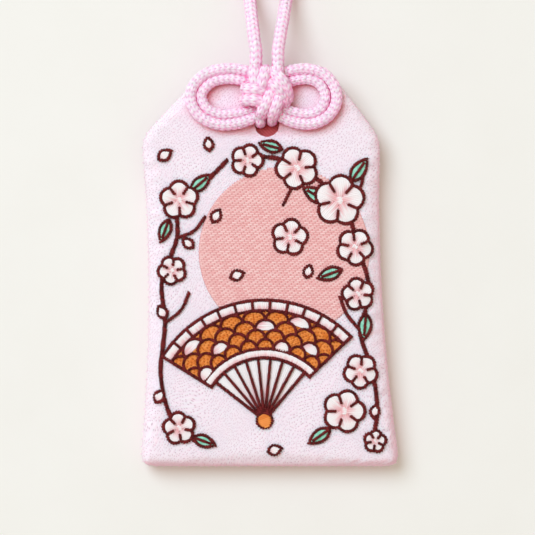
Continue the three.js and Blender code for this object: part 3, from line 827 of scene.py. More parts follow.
def panel_grid(inset, step=GRID_STEP):
    """Rows of points inside the outline, pulled in by the inset, and the faces between them."""
    columns = spread(0, 1, ROLL / BAG_WIDTH, step / BAG_WIDTH)
    low, high = outline[:, 1].min() + inset + HAIR, outline[:, 1].max() - inset - HAIR
    rows = []
    for y in spread(low, high, ROLL, step):
        left, right = crossings(outline, y)[[0, -1]] + (inset, -inset)
        rows.append(np.column_stack([left + (right - left) * columns, np.full(len(columns), y)]))
    cells = np.arange(len(rows) * len(columns)).reshape(len(rows), len(columns))
    faces = np.stack([cells[:-1, :-1], cells[:-1, 1:], cells[1:, 1:], cells[1:, :-1]], axis=-1)
    return np.vstack(rows), faces.reshape(-1, 4)


grid_points, grid_faces = panel_grid(0.0)
grid_edge = edge_distance(grid_points)
print("panel grid of", len(grid_points), "points")

# %% Seam height
SEAM_Z = 3.1
NECK_SEAM_Z = 4.7
NECK_SLOPE = (12.75, 24.75)


def ease(low, high, value):
    """0 below low, 1 above high, and a smooth slope between them."""
    t = np.clip((value - low) / (high - low), 0, 1)
    return t * t * (3 - 2 * t)


def rolled(edge, roll):
    """The rise of a round edge: 0 at the seam and 1 where the face is level."""
    t = np.clip(edge / roll, 0, 1)
    return np.sqrt(1 - (1 - t) ** 2)


def neck_share(y):
    """0 on the body, where the talisman lies, and 1 on the flat neck."""
    return ease(*NECK_SLOPE, y)


def seam_height(y):
    return SEAM_Z + (NECK_SEAM_Z - SEAM_Z) * neck_share(y)


def puckers(edge, height, middle, reach, wave):
    """Small waves along the seam, highest at a distance from the edge."""
    return height * np.sin(wave) * np.exp(-((edge - middle) / reach) ** 2)


print("the seam climbs from", seam_height(BOTTOM_Y), "to", seam_height(TOP_Y), "mm")

# %% Panel heights
NECK_Z = 3.2
HOLE_Y = 28.7
HOLE_RADIUS = 2.45
CROWN_HEIGHT, CROWN_REACH = 0.25, 6
RIDGE_X, RIDGE_HEIGHT, RIDGE_HALF_WIDTH = 0.2, 0.45, 1.3
RIDGE_RISE, RIDGE_FALL = (-0.4, 1.0), (2.0, 6.5)
PLEATS, PLEAT_HEIGHT, PLEAT_REACH = 9, 0.10, 4
BACK_LIFT = 0.02


def front_height(x, y, edge):
    """The front cloth: rolled edges, a soft crown and the pull of the cord on the neck."""
    level = FRONT_Z - seam_height(y)
    crown = CROWN_HEIGHT * (1 - np.exp(-edge / CROWN_REACH)) * (1 - neck_share(y))
    below = HOLE_Y - HOLE_RADIUS - y
    ridge = RIDGE_HEIGHT * np.exp(-((x - RIDGE_X) / RIDGE_HALF_WIDTH) ** 2)
    ridge = ridge * ease(*RIDGE_RISE, below) * (1 - ease(*RIDGE_FALL, below))
    from_hole = np.hypot(x, y - HOLE_Y)
    pleats = PLEAT_HEIGHT * np.cos(PLEATS * np.arctan2(y - HOLE_Y, x))
    pleats = pleats * np.exp(-(from_hole - HOLE_RADIUS) / PLEAT_REACH)
    pucker = puckers(edge, height=0.10, middle=1.6, reach=1.4, wave=y * 2.1 + 2 * np.sin(y * 0.43))
    return seam_height(y) + level * rolled(edge, ROLL) + crown + ridge + pleats + pucker


def back_height(x, y, edge):
    """The back cloth: flat where it lies on its back, raised at the neck."""
    level = NECK_Z * neck_share(y) + BACK_LIFT
    pucker = puckers(edge, height=0.08, middle=1.5, reach=1.2, wave=y * 1.9 + x)
    return seam_height(y) - (seam_height(y) - level) * rolled(edge, ROLL) + np.maximum(pucker, 0)


print("front rises to", front_height(*grid_points.T, grid_edge).max().round(2), "mm")

# %% Cutting the cord hole
PUNCH_ENDS = (-10.0, 20.0)
PUNCH_SIDES = 48
FRAY = 0.012
FRAY_WAVES = (7, 12)
WRAP_HOLE_RADIUS = 1.16
front_hole = [(0.0, HOLE_Y, HOLE_RADIUS)]
back_hole = [(x, KNOT_PLACE[1] + hole, WRAP_HOLE_RADIUS) for x, hole in wrap_places.values()]


def polar(radii, angles):
    return np.column_stack([radii * np.cos(angles), radii * np.sin(angles)])


def all_round(count):
    """Angles at even steps round a circle."""
    return np.linspace(0, TURN, count, endpoint=False)


def hole_punch(hole):
    """Round bars through the neck, for cutting a cord hole that is a list of circles."""
    angles = all_round(PUNCH_SIDES)
    fray = np.sin(FRAY_WAVES[0] * angles) + np.sin(FRAY_WAVES[1] * angles + 1)
    points, faces = [], []
    for x, y, radius in hole:
        ring = polar(radius * (1 + FRAY * fray), angles) + (x, y)
        low = [len(points) + i for i in range(PUNCH_SIDES)]
        high = [i + PUNCH_SIDES for i in low]
        points += [(px * MM, py * MM, z * MM) for z in PUNCH_ENDS for px, py in ring]
        faces += [(a, b, d, c) for a, b, c, d in zip(low, low[1:] + low[:1], high, high[1:] + high[:1])]
        faces += [low[::-1], high]
    return add_mesh("hole_punch", points, faces)


print("the front hole is", 2 * HOLE_RADIUS, "mm wide")


# %% Sewing a panel
def sew_panel(name, points, faces, thickness, hole, material):
    """A panel as a plain mesh with thickness and the cord hole."""
    sheet = add_mesh(name + "_flat", (points * MM).tolist(), faces.tolist())
    wall = sheet.modifiers.new("thickness", "SOLIDIFY")
    wall.thickness = thickness * MM
    wall.offset = -1
    punch = hole_punch(hole)
    cut = sheet.modifiers.new("hole", "BOOLEAN")
    cut.object = punch
    cut.use_self = len(hole) > 1
    mesh = made_mesh(sheet)
    bpy.data.objects.remove(punch)
    bpy.data.objects.remove(sheet)
    mesh.materials.clear()
    mesh.materials.append(material)
    mesh.shade_smooth()
    return keep_piece(name, mesh)


print("panel helper ready")

# %% [markdown]
# ### The brocade's finish
# The bag is a pale pink crepe. Crepe yarn is twisted so hard that the cloth shrinks into small grains, with
# a pit between each four of them, in rows that wander. The pits are the cells of a Voronoi pattern on
# coordinates that are turned and pushed about by noise, and they also press the surface in through a Bump
# node. The colour carries painted shade: the sides turned from the lamp are painted pinker, and the cloth
# that the cord shuts in from the lamp's side gets a painted red shadow, as if the light there had passed
# through pink cloth and thread. The shader also lets red light spread further than green.

# %% Brocade finish
PIT_SPACING = 0.46
ROW_SPACING = 0.64
ROW_SLANT = -0.6
PIT_SCATTER = 0.85
PIT_RADII = (0.02, 0.16)
WANDER = 10.0
LAMP_SIDE = (-0.7, 0.75, 0.0)
CORD_EDGE = (24, 27)


def crepe_pits(board, place):
    """Round pits in slanted rows that wander, and the ridges between the rows."""
    wander = board.noise(place, scale=60.0, detail=2.0, out="Color")
    pushed = board.vector("ADD", place, board.scaled(wander, WANDER * MM))
    slanted = board.wire("ShaderNodeMapping", sockets={
        "Vector": pushed, "Rotation": (0.0, 0.0, ROW_SLANT),
        "Scale": (1 / (PIT_SPACING * MM), 1 / (ROW_SPACING * MM), 1.0),
    })
    pit_place = board.wire("ShaderNodeTexVoronoi", {"feature": "F1", "voronoi_dimensions": "2D"}, {
        "Vector": slanted, "Scale": 1.0, "Randomness": PIT_SCATTER,
    }, out="Position")
    offset = board.vector("SUBTRACT", slanted, pit_place)
    offset = board.vector("MULTIPLY", offset, (PIT_SPACING, ROW_SPACING, 0.0))
    pits = 1 - board.slope(board.vector("LENGTH", offset, out="Value"), *PIT_RADII)
    across_rows = board.axis(slanted, "Y")
    ridges = 0 - board.math("COSINE", (across_rows - PIT_SCATTER / 2) * TURN)
    return pits, ridges


def paint_brocade(board):
    place = board.place()
    pits, ridges = crepe_pits(board, place)
    patches = board.noise(place, scale=400.0, detail=3.0)
    fibres = board.noise(place, scale=5000.0, detail=2.0)
    paleness = patches * 0.4 + fibres * 0.25 + 0.2 + ridges * 0.15
    ground = board.mix(paleness, rgb("fbe4f3"), rgb("fff9fe"))
    dotted = board.mix(pits * (patches * 0.9 + 0.25), ground, rgb("cb9fb4"))
    # Painted shade: faces turned from the lamp are mixed towards pink
    shaded_side = board.slope(turned_away(board, board.facing()), 0.25, 1.1)
    lamp_shaded_cloth = board.mix(shaded_side * 0.65, dotted, rgb("f0b2c8"))
    # Painted shadow: the cloth that the cord shuts in on the lamp's side turns red
    under_cord = board.slope(board.axis(place, "Y"), CORD_EDGE[0] * MM, CORD_EDGE[1] * MM)
    shut_in = hollow(board, SHUT_IN_REACH, LAMP_SIDE) * under_cord
    painted_shade_colour = board.ramp(shut_in, (0.0, "f9ccd4"), (0.5, "ec929c"), (1.0, "dc5068"))
    grain = fibres * 0.2 + ridges * 0.35 - pits * 0.8
    return {
        "Base Color": board.mix(board.slope(shut_in, 0.2, 1.0), lamp_shaded_cloth, painted_shade_colour),
        "Roughness": 0.78, "Normal": board.bump(grain, strength=0.4, depth=0.1),
        "Subsurface Weight": 0.5, "Subsurface Radius": (1.0, 0.3, 0.4), "Subsurface Scale": 1.5 * MM,
        "Sheen Weight": 0.3, "Sheen Roughness": 0.5, "Sheen Tint": rgb("ffe0ee"),
    }


brocade = finish_of("brocade", paint_brocade)
print("finish", brocade.name)

# %% [markdown]
# ### Swelling the front
# Behind the front lies a sheet of wadding, which pushes the cloth out while the seam and the cord hold it.
# That is work for Blender's cloth simulation: the panel, a little too large for its seam, is blown out by a
# pressure from inside and stops in the small puckers that sewn cloth has. The simulation is made for things
# the size of a person, so the panel is scaled up for it and back again, and no point may move further than
# a cap.

# %% Swell the front
SWELL_SCALE = 20
SWELL_FRAMES = 20
SWELL_CAP = 0.3
SWELL_PRESSURE = 4.0
SPARE_CLOTH = 0.015
HELD_EDGE = 0.7
HELD_RING = 1.0


def swollen(points, faces, held):
    """The points of a sheet after the wadding has pushed it out, with the held ones left in place."""
    sheet = add_mesh("swelling_cloth", (points * MM * SWELL_SCALE).tolist(), faces.tolist())
    sheet.vertex_groups.new(name="held").add(np.flatnonzero(held).tolist(), 1.0, "REPLACE")
    cloth = sheet.modifiers.new("cloth", "CLOTH")
    cloth.point_cache.frame_end = SWELL_FRAMES
    rules = cloth.settings
    rules.vertex_group_mass = "held"
    rules.shrink_min = -SPARE_CLOTH
    rules.use_pressure = True
    rules.uniform_pressure_force = SWELL_PRESSURE
    rules.effector_weights.gravity = 0.0
    for number in range(1, SWELL_FRAMES + 1):
        bpy.context.scene.frame_set(number)
    moved = np.array([vertex.co for vertex in made_mesh(sheet).vertices]) / (MM * SWELL_SCALE)
    bpy.data.objects.remove(sheet)
    bpy.context.scene.frame_set(1)
    shift = moved - points
    reach = np.linalg.norm(shift, axis=1, keepdims=True)
    print("the cloth swells by up to", reach.max().round(2), "mm before the cap")
    return points + shift * np.minimum(1, SWELL_CAP / np.maximum(reach, HAIR))


front_points = np.column_stack([grid_points, front_height(*grid_points.T, grid_edge)])
from_hole = np.hypot(grid_points[:, 0], grid_points[:, 1] - HOLE_Y)
held = (grid_edge < HELD_EDGE) | (from_hole < HOLE_RADIUS + HELD_RING)
front_points = swollen(front_points, grid_faces, held)

# %% Front and back cloth
CLOTH = 0.45

front_cloth = sew_panel("front_cloth", front_points, grid_faces, CLOTH, front_hole, brocade)
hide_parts("front_panel")
back_points = np.column_stack([grid_points, back_height(*grid_points.T, grid_edge)])
back_cloth = sew_panel("back_cloth", back_points, grid_faces[:, ::-1], CLOTH, back_hole, brocade)
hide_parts("back_panel")

for cloth, inside in ((front_cloth, "padding"), (back_cloth, "talisman_wrapper")):
    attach(cloth, "bag")

# %% [markdown]
# ## Embroidery
# The picture on the front is sewn thread. Fields of colour are satin and tatami stitches, straight threads
# laid side by side, and the drawing is a dark line of short slanted stitches. Both would be lost in a flat
# texture, so every stitch here is a real thread: plain Python works out where it starts and ends, and two
# trees of nodes turn those lines into raised threads.


# %% Laying points on the cloth
def front_surface():
    mesh = front_cloth.data
    points = [vertex.co for vertex in mesh.vertices]
    return BVHTree.FromPolygons(points, [polygon.vertices for polygon in mesh.polygons])


cloth_surface = front_surface()
RAY_HEIGHT = 30 * MM


def lay(points, lift):
    """Flat points in millimetres, set down on the front cloth and raised by the lift, in metres."""
    placed = []
    for x, y in points:
        hit = cloth_surface.ray_cast(Vector((x * MM, y * MM, RAY_HEIGHT)), Vector((0, 0, -1)))[0]
        placed.append((x * MM, y * MM, (hit.z if hit else FRONT_Z * MM) + lift * MM))
    return np.array(placed)


def turned(points, degrees):
    angle = math.radians(degrees)
    spin = np.array([[math.cos(angle), -math.sin(angle)], [math.sin(angle), math.cos(angle)]])
    return np.asarray(points) @ spin.T


print("the cloth is at", lay([(0, 0)], 0)[0].round(5))

# %% Rows of stitches
ROW_STEP = 0.382
SHORTEST_STITCH = 0.3
THREAD_PITCH = 0.36


def spans_of(ring, level):
    return crossings(ring, level).reshape(-1, 2).tolist()


def without(spans, holes):
    """Spans of a row with the spans of the holes taken out."""
    for hole_start, hole_end in holes:
        kept = []
        for start, end in spans:
            kept += [(start, min(end, hole_start)), (max(start, hole_end), end)]
        spans = [(start, end) for start, end in kept if end > start]
    return spans


def stitch_rows(ring, degrees, holes=(), stitch=None):
    """Straight stitches that fill a closed line, in rows at an angle, clear of the holes. Where a stitch
    length is given, the rows are broken into stitches that step from row to row, as in tatami."""
    flat = turned(ring, -degrees)
    flat_holes = [turned(hole, -degrees) for hole in holes]
    levels = np.arange(flat[:, 1].min() + THREAD_PITCH / 2, flat[:, 1].max(), THREAD_PITCH)
    stitches = []
    for row, level in enumerate(levels):
        blocked = [span for hole in flat_holes for span in spans_of(hole, level)]
        for start, end in without(spans_of(flat, level), blocked):
            breaks = [start, end]
            if stitch:
                phase = row * ROW_STEP % 1
                first = (math.ceil((start + SHORTEST_STITCH) / stitch - phase) + phase) * stitch
                breaks = [start, *np.arange(first, end - SHORTEST_STITCH, stitch), end]
            for left, right in zip(breaks, breaks[1:]):
                if right - left > SHORTEST_STITCH:
                    stitches.append(turned([(left, level), (right, level)], degrees))
    return stitches


square = np.array([(0, 0), (3, 0), (3, 3), (0, 3)])
print("a square patch takes", len(stitch_rows(square, 0)), "stitches")

# %% Thread tree
THREAD_POINTS = 6
BOW_POWER = 3.0


def thread_tree():
    board, given = new_tree("laid_thread", {
        "Width": "Float", "Thickness": "Float", "Arch": "Float", "Seed": "Int", "Material": "Material",
    })
    threads = board.wire("GeometryNodeResampleCurve", {"mode": "COUNT"}, {
        "Curve": given["Geometry"], "Count": THREAD_POINTS,
    })
    along = board.wire("GeometryNodeSplineParameter", out="Factor")
    tone = board.wire("GeometryNodeFieldOnDomain", {"domain": "CURVE", "data_type": "FLOAT"}, {
        0: chance(board, given["Seed"]),
    })
    threads = with_value(board, threads, "along", along)
    threads = with_value(board, threads, "tone", tone)
    bow = 1 - board.math("POWER", board.math("ABSOLUTE", along * 2 - 1), BOW_POWER)
    rise = bow * given["Arch"] * (0.8 + 0.4 * tone)
    threads = board.wire("GeometryNodeSetPosition", sockets={
        "Geometry": threads, "Offset": board.combined(z=rise),
    })
    threads = board.wire("GeometryNodeSetCurveNormal", {"mode": "Z_UP"}, {"Curve": threads})
    section = oval_section(board, given["Width"], given["Thickness"])
    return close_tree(board, tube(board, threads, section), given["Material"])


laid_thread = thread_tree()
print("thread tree has", len(laid_thread.nodes), "nodes")

# %% Rope line tree
STITCH_SPREAD = (0.86, 1.14)


def rope_tree():
    board, given = new_tree("rope_line", {
        "Pitch": "Float", "Stitch Length": "Float", "Stitch Width": "Float", "Slant": "Float",
        "Across": "Vector", "Seed": "Int", "Material": "Material",
    })
    places = board.wire("GeometryNodeResampleCurve", {"mode": "LENGTH"}, {
        "Curve": given["Geometry"], "Length": given["Pitch"],
    })
    tangent = board.wire("GeometryNodeInputTangent")
    level = board.vector("CROSS_PRODUCT", (0.0, 0.0, 1.0), tangent)
    heading = board.vector(
        "ADD",
        board.scaled(tangent, board.math("COSINE", given["Slant"])),
        board.scaled(board.vector("ADD", level, given["Across"]), board.math("SINE", given["Slant"])),
    )
    places = with_value(board, places, "heading", heading, "FLOAT_VECTOR")
    facing = board.wire("FunctionNodeAlignRotationToVector", {"axis": "X"}, {
        "Vector": kept_vector(board, "heading"),
    })
    bead = board.wire("GeometryNodeMeshUVSphere", sockets={"Segments": 6, "Rings": 5, "Radius": 0.5})
    length = given["Stitch Length"] * chance(board, given["Seed"], *STITCH_SPREAD)
    width = given["Stitch Width"]
    stitches = board.wire("GeometryNodeInstanceOnPoints", sockets={
        "Points": places, "Instance": bead, "Rotation": facing, "Scale": board.combined(length, width, width),
    })
    stitches = with_value(board, stitches, "tone", chance(board, given["Seed"]), domain="INSTANCE")
    return close_tree(board, stitches, given["Material"])


rope_line = rope_tree()
print("rope tree has", len(rope_line.nodes), "nodes")

# %% [markdown]
# ### Thread finishes
# Embroidery thread is rayon: smooth, a little glossy, with each thread a shade lighter or darker than the
# next. The trees store a random tone for each thread and how far along it a point lies. In the long rows of
# tatami the needle's holes are in shade, and that shade is painted: there a thread gets darker towards its
# ends. White petals blush towards the middle of the flower, so their colour follows the thread from its
# inner end to its outer one.


# %% Thread finishes
def paint_thread(dark, light, hole_shade=None, gloss=0.3):
    """Rayon thread. A shade colour, when given, is painted on its two ends as the shade in the needle holes
    where the thread went through the cloth.
    """
    def paint(board):
        tone = board.attribute("tone")
        twist = board.noise(board.place(), scale=5000.0, detail=2.0)
        thread = board.mix(tone * 0.7 + twist * 0.3, rgb(dark), rgb(light))
        # Painted shade of the needle holes: the thread darkens towards both ends
        if hole_shade:
            from_middle = board.math("ABSOLUTE", board.attribute("along") * 2 - 1)
            thread = board.mix(board.slope(from_middle, 0.55, 1.0), thread, rgb(hole_shade))
        return {
            "Base Color": thread, "Roughness": 0.45 + 0.15 * tone, "Specular IOR Level": gloss,
            "Normal": board.bump(twist, strength=0.2, depth=0.05),
        }
    return paint


def paint_blush(board):
    tone = board.attribute("tone")
    from_eye = board.attribute("along") + (tone - 0.5) * 0.3
    bloom = board.ramp(from_eye, (0.0, "f6b7ba"), (0.25, "fad6d8"), (0.5, "fff5f5"), (1.0, "fffdfd"))
    return {"Base Color": bloom, "Roughness": 0.48 + 0.1 * tone, "Specular IOR Level": 0.3}


thread_paints = {
    "pink_thread": paint_thread("f3b6b4", "ffd8d5", "e69b9c"),
    "orange_thread": paint_thread("e67a20", "ffa654", "c0600f"),
    "maroon_thread": paint_thread("3c0608", "822a2a", gloss=0.15),
    "white_thread": paint_blush,
    "mint_thread": paint_thread("86dcbc", "b4f2dc"),
}
thread_finishes = {name: finish_of(name, paint) for name, paint in thread_paints.items()}
print(len(thread_finishes), "threads on the shelf")

# %% Sewing fields and lines
THREAD_WIDTH = 0.42
THREAD_THICKNESS = 0.22
THREAD_ARCH = 0.16
THREAD_SEED = 3
LINE_PITCH = 0.47
LINE_THREAD = 0.61
LINE_SLANT = 56
LINE_SEED = 5


def sew_field(name, stitches, slot, lift, nodes=(), arch=THREAD_ARCH):
    """Straight stitches on the front as one piece, which stands for the nodes."""
    lines = [lay(stitch, lift) for stitch in stitches]
    piece = grow(name, curve_of(name, lines), laid_thread, {
        "Width": THREAD_WIDTH * MM, "Thickness": THREAD_THICKNESS * MM, "Arch": arch * MM,
        "Seed": THREAD_SEED, "Material": thread_finishes[slot],
    })
    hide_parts(*nodes)
    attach(piece, "bag")


def rope_stitches(name, lines, finish, seed, pitch, length, width, slant, climb=0.0):
    """Short slanted stitches along lines, as one piece. The climb turns them up out of the level."""
    return grow(name, curve_of(name, lines), rope_line, {
        "Pitch": pitch * MM, "Stitch Length": length * MM, "Stitch Width": width * MM,
        "Slant": math.radians(slant), "Across": (0.0, 0.0, climb), "Seed": seed, "Material": finish,
    })


def sew_lines(name, lines, lift, width, pitch=LINE_PITCH):
    """Dark drawn lines on the front, as wide as their stitches are long."""
    placed = [lay(line, lift) for line in lines]
    piece = rope_stitches(
        name, placed, thread_finishes["maroon_thread"], LINE_SEED, pitch, width, LINE_THREAD, LINE_SLANT
    )
    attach(piece, "bag")


def on_front(across, up):
    """A place given as a share of the half width on its side and of the bag's height."""
    y = BOTTOM_Y + up * (TOP_Y - BOTTOM_Y)
    return np.array([across * half_width(-1 if across < 0 else 1, y), y])


print("half way up, the front's right edge is at", on_front(1, 0.5).round(2))

# %% [markdown]
# ### Blossoms, leaves and petals
# A plum blossom is five round petals. Its outline is one formula: the distance to the edge in a direction
# depends on the angle to the nearest petal's axis. Each petal is filled with threads that run outwards from
# the middle, and the drawn line follows the edge and runs in a little between two petals.

# %% Shapes of the motifs
BLOSSOM_RADIUS = 4.0
LEAF_SIZE = np.array([5.0, 2.4])
PETAL_SIZE = np.array([2.8, 1.9])
PETAL_SHARE = 0.47
EYE_SHARE = 0.16
PETALS = 5
RING_POINTS = 80


def blossom_edge(radius, angles):
    """Distance from the middle of a blossom to its edge in the given directions."""
    petal, reach = PETAL_SHARE * radius, (1 - PETAL_SHARE) * radius
    aside = (angles + math.pi / PETALS) % (TURN / PETALS) - math.pi / PETALS
    return reach * np.cos(aside) + np.sqrt(petal**2 - (reach * np.sin(aside)) ** 2)


def leaf_ring(size):
    """A leaf as two bowed sides between its points."""
    length, width = size
    t = np.linspace(0, 1, 14, endpoint=False)[:, None]
    tip, end = np.array([-length / 2, 0]), np.array([length / 2, 0])
    halves = []
    for start, stop, bow in ((tip, end, -width), (end, tip, width)):
        control = np.array([-length / 8, bow])
        halves.append(start * (1 - t) ** 2 + 2 * control * t * (1 - t) + stop * t**2)
    return np.vstack(halves)


def closed(ring):
    return np.vstack([ring, ring[:1]])


def round_ring(radius, middle, count=RING_POINTS):
    return polar(np.full(count, radius), all_round(count)) + middle


def set_down(points, across, up, turn):
    """Points round a motif's middle, turned and moved to its place on the front."""
    return turned(points, turn) + on_front(across, up)


print("a blossom reaches", blossom_edge(BLOSSOM_RADIUS, np.array([0.0]))[0], "mm")

# %% Places of the motifs
# Each has its place across and up the front, as on_front takes them, its size and its turn in degrees
blossoms = [
    (0.64, 0.671, 1.25, 12), (0.773, 0.553, 0.9, 60), (0.265, 0.753, 1.05, 40), (-0.16, 0.772, 0.8, 0),
    (0.786, 0.434, 0.8, 30), (0.77, 0.239, 0.85, 50), (0.2, 0.578, 0.9, 8), (-0.722, 0.672, 0.95, 20),
    (-0.797, 0.494, 0.7, 44), (-0.707, 0.095, 0.8, 26), (0.61, 0.138, 1.05, 0), (0.83, 0.062, 0.55, 10),
]
leaves = [
    (0.425, 0.685, 1.08, 150), (0.815, 0.748, 1.08, 55), (0.03, 0.808, 0.92, 165), (0.545, 0.485, 1.0, 200),
    (0.83, 0.351, 1.04, 265), (0.405, 0.075, 1.0, 215), (-0.54, 0.715, 1.0, 40), (-0.85, 0.594, 0.92, 250),
    (-0.5, 0.062, 0.92, 340),
]
petals = [
    (-0.82, 0.786, 1.071, 35), (-0.466, 0.814, 0.929, 100), (-0.42, 0.632, 1.0, 60),
    (-0.66, 0.563, 0.929, 140), (-0.88, 0.389, 1.0, 120), (-0.25, 0.482, 1.0, 20), (0.36, 0.492, 0.929, 75),
    (0.06, 0.04, 1.0, 15), (0.855, 0.138, 0.929, 80), (-0.88, 0.176, 1.0, 60),
]
full_turn = all_round(RING_POINTS)
blossom_rings = [
    set_down(polar(blossom_edge(size * BLOSSOM_RADIUS, full_turn), full_turn), across, up, turn)
    for across, up, size, turn in blossoms
]
leaf_rings = [set_down(leaf_ring(size * LEAF_SIZE), across, up, turn) for across, up, size, turn in leaves]
petal_rings = [set_down(leaf_ring(size * PETAL_SIZE), across, up, turn) for across, up, size, turn in petals]
print(len(blossoms), "blossoms,", len(leaves), "leaves,", len(petals), "loose petals")

# %% Sew the motifs
FIELD_LIFT = 0.16
NOTCH = (0.82, 0.42)
VEIN = (-0.5, 0.3)
LEAF_SLANT = 60
drawn_lines = []
fine_lines = []


def outside(line, rings):
    """The stretches of a line that lie outside all the closed lines, as separate lines."""
    runs, run = [], []
    for point in line:
        inside = any(np.count_nonzero(crossings(ring, point[1]) > point[0]) % 2 for ring in rings)
        if inside:
            runs.append(run)
            run = []
        else:
            run.append(point)
    return [np.array(run) for run in [*runs, run] if len(run) > 1]


for number, ((across, up, size, turn), ring) in enumerate(zip(blossoms, blossom_rings), 1):
    middle = on_front(across, up)
    radius = size * BLOSSOM_RADIUS
    stitches = []
    for petal in range(PETALS):
        axis = turn + petal * 360 / PETALS
        swing = np.radians(np.linspace(-180 / PETALS, 180 / PETALS, 17))
        wedge = np.vstack([[(0, 0)], polar(blossom_edge(radius, swing), swing)])
        stitches += stitch_rows(set_down(wedge, across, up, axis), axis)
        between = math.radians(axis + 180 / PETALS)
        fine_lines.append(polar(np.linspace(*NOTCH, 5) * radius, np.full(5, between)) + middle)
    stitches += stitch_rows(round_ring(EYE_SHARE * radius, middle, 12), turn)
    sew_field(f"blossom_{number}_threads", stitches, "white_thread", FIELD_LIFT, [f"blossom_{number}"])
    drawn_lines.append(closed(ring))

for number, ((across, up, size, turn), ring) in enumerate(zip(leaves, leaf_rings), 1):
    stitches = stitch_rows(ring, turn + LEAF_SLANT, blossom_rings)
    sew_field(f"leaf_{number}_threads", stitches, "mint_thread", FIELD_LIFT, [f"leaf_{number}"])
    vein = np.linspace(*VEIN, 9)[:, None] * np.array([size * LEAF_SIZE[0], 0])
    fine_lines += outside(set_down(vein, across, up, turn), blossom_rings)
    drawn_lines += outside(closed(ring), blossom_rings)

for number, ((across, up, size, turn), ring) in enumerate(zip(petals, petal_rings), 1):
    stitches = stitch_rows(ring, turn)
    sew_field(f"petal_{number}_threads", stitches, "white_thread", FIELD_LIFT, [f"petal_{number}"])
    drawn_lines.append(closed(ring))

# %% [markdown]
# ### The disc and the folding fan
# Behind the blossoms stands a pink disc, sewn in long level rows of tatami. A folding fan lies in front of
# it. Its leaf carries the wave-scale pattern found on many old textiles, between a white rim and a white
# hem, and its ribs run down to the rivet.

# %% Disc
DISC_RADIUS = 17.0
DISC_PLACE = (0.15, 0.54)
DISC_STITCH = 1.2
DISC_ARCH = 0.10
UNDER_LIFT = 0.06
FAN_RADIUS = 24.0
FAN_PLACE = (-0.02, 0.115)
FAN_GAP = 0.1
fan_pivot = on_front(*FAN_PLACE)
disc_ring = round_ring(DISC_RADIUS, on_front(*DISC_PLACE))
fan_room = round_ring(FAN_RADIUS + FAN_GAP, fan_pivot)
sewn_rings = [*blossom_rings, *leaf_rings, *petal_rings]
disc_stitches = stitch_rows(disc_ring, 0, [fan_room, *sewn_rings], DISC_STITCH)
sew_field("sun_disc_threads", disc_stitches, "pink_thread", UNDER_LIFT, ["sun_disc"], DISC_ARCH)

# %% Fan
FAN_HALF = math.radians(52)
FAN_TILT = math.radians(6)
LEAF_BANDS = (12.5, 14.3, 21.9, FAN_RADIUS)  # edges of the hem, the scales and the rim
STICK_REACH = (1.5, 12.0)
STICK_HALF = math.radians(46)
FAN_FOLDS = 12
FOLD_LEAN = 9
LEAF_STITCH = 1.3


def fan_point(radius, share, half=FAN_HALF):
    """A place on the fan: its distance from the rivet and its share of the way to the right edge."""
    angle = math.pi / 2 + FAN_TILT - share * half
    return np.array([radius * math.cos(angle), radius * math.sin(angle)]) + fan_pivot


def fan_arc(radius, first, last, count=40, half=FAN_HALF):
    return np.array([fan_point(radius, share, half) for share in np.linspace(first, last, count)])


def fan_spoke(inner, outer, share, count, half=FAN_HALF):
    return np.array([fan_point(radius, share, half) for radius in np.linspace(inner, outer, count)])


def fan_field(inner, outer, first, last, half=FAN_HALF):
    return np.vstack([fan_arc(outer, first, last, 9, half), fan_arc(inner, last, first, 9, half)])


def fan_angle(share, half=FAN_HALF):
    return math.degrees(FAN_TILT - share * half)


orange_stitches, rim_stitches = [], []
folds = np.linspace(-1, 1, FAN_FOLDS + 1)
for number, (first, last) in enumerate(zip(folds, folds[1:])):
    across = fan_angle((first + last) / 2)
    lean = FOLD_LEAN if number % 2 else -FOLD_LEAN
    fold = fan_field(*LEAF_BANDS[1:3], first, last)
    orange_stitches += stitch_rows(fold, across + lean, stitch=LEAF_STITCH)
    for inner, outer in (LEAF_BANDS[:2], LEAF_BANDS[2:]):
        rim_stitches += stitch_rows(fan_field(inner, outer, first, last), across + 90)
    fine_lines.append(fan_spoke(*LEAF_BANDS[2:], last, 6))
sew_field("fan_leaf_threads", orange_stitches, "orange_thread", FIELD_LIFT, ["fan_leaf"])
sew_field("fan_rim_threads", rim_stitches, "white_thread", FIELD_LIFT)
drawn_lines += [fan_arc(radius, -1, 1) for radius in LEAF_BANDS]
drawn_lines += [fan_spoke(LEAF_BANDS[0], FAN_RADIUS, share, 20) for share in (-1, 1)]

# %% Wave scales
SCALES = 8
SCALE_ROWS = 4
SCALE_OVERLAP = 1.05
WHITE_EVERY = 5
SCALE_LIFT = FIELD_LIFT + 0.14
scale_pitch = (LEAF_BANDS[2] - LEAF_BANDS[1]) / SCALE_ROWS
white_scales = []
for row in range(SCALE_ROWS):
    base = LEAF_BANDS[1] + row * scale_pitch
    shift = 0.5 * (row % 2)
    for column in range(SCALES + row % 2):
        middle = -1 + 2 * (column + 0.5 - shift) / SCALES
        arc = []
        for angle in np.linspace(0, math.pi, 13):
            share = np.clip(middle - math.cos(angle) / SCALES, -1, 1)
            arc.append(fan_point(base + scale_pitch * SCALE_OVERLAP * math.sin(angle), share))
        fine_lines.append(np.array(arc))
        if (row + 2 * column) % WHITE_EVERY == 0:
            white_scales += stitch_rows(np.array(arc), fan_angle(middle))
sew_field("fan_scale_threads", white_scales, "white_thread", SCALE_LIFT)
print(len(white_scales), "stitches in the white scales")

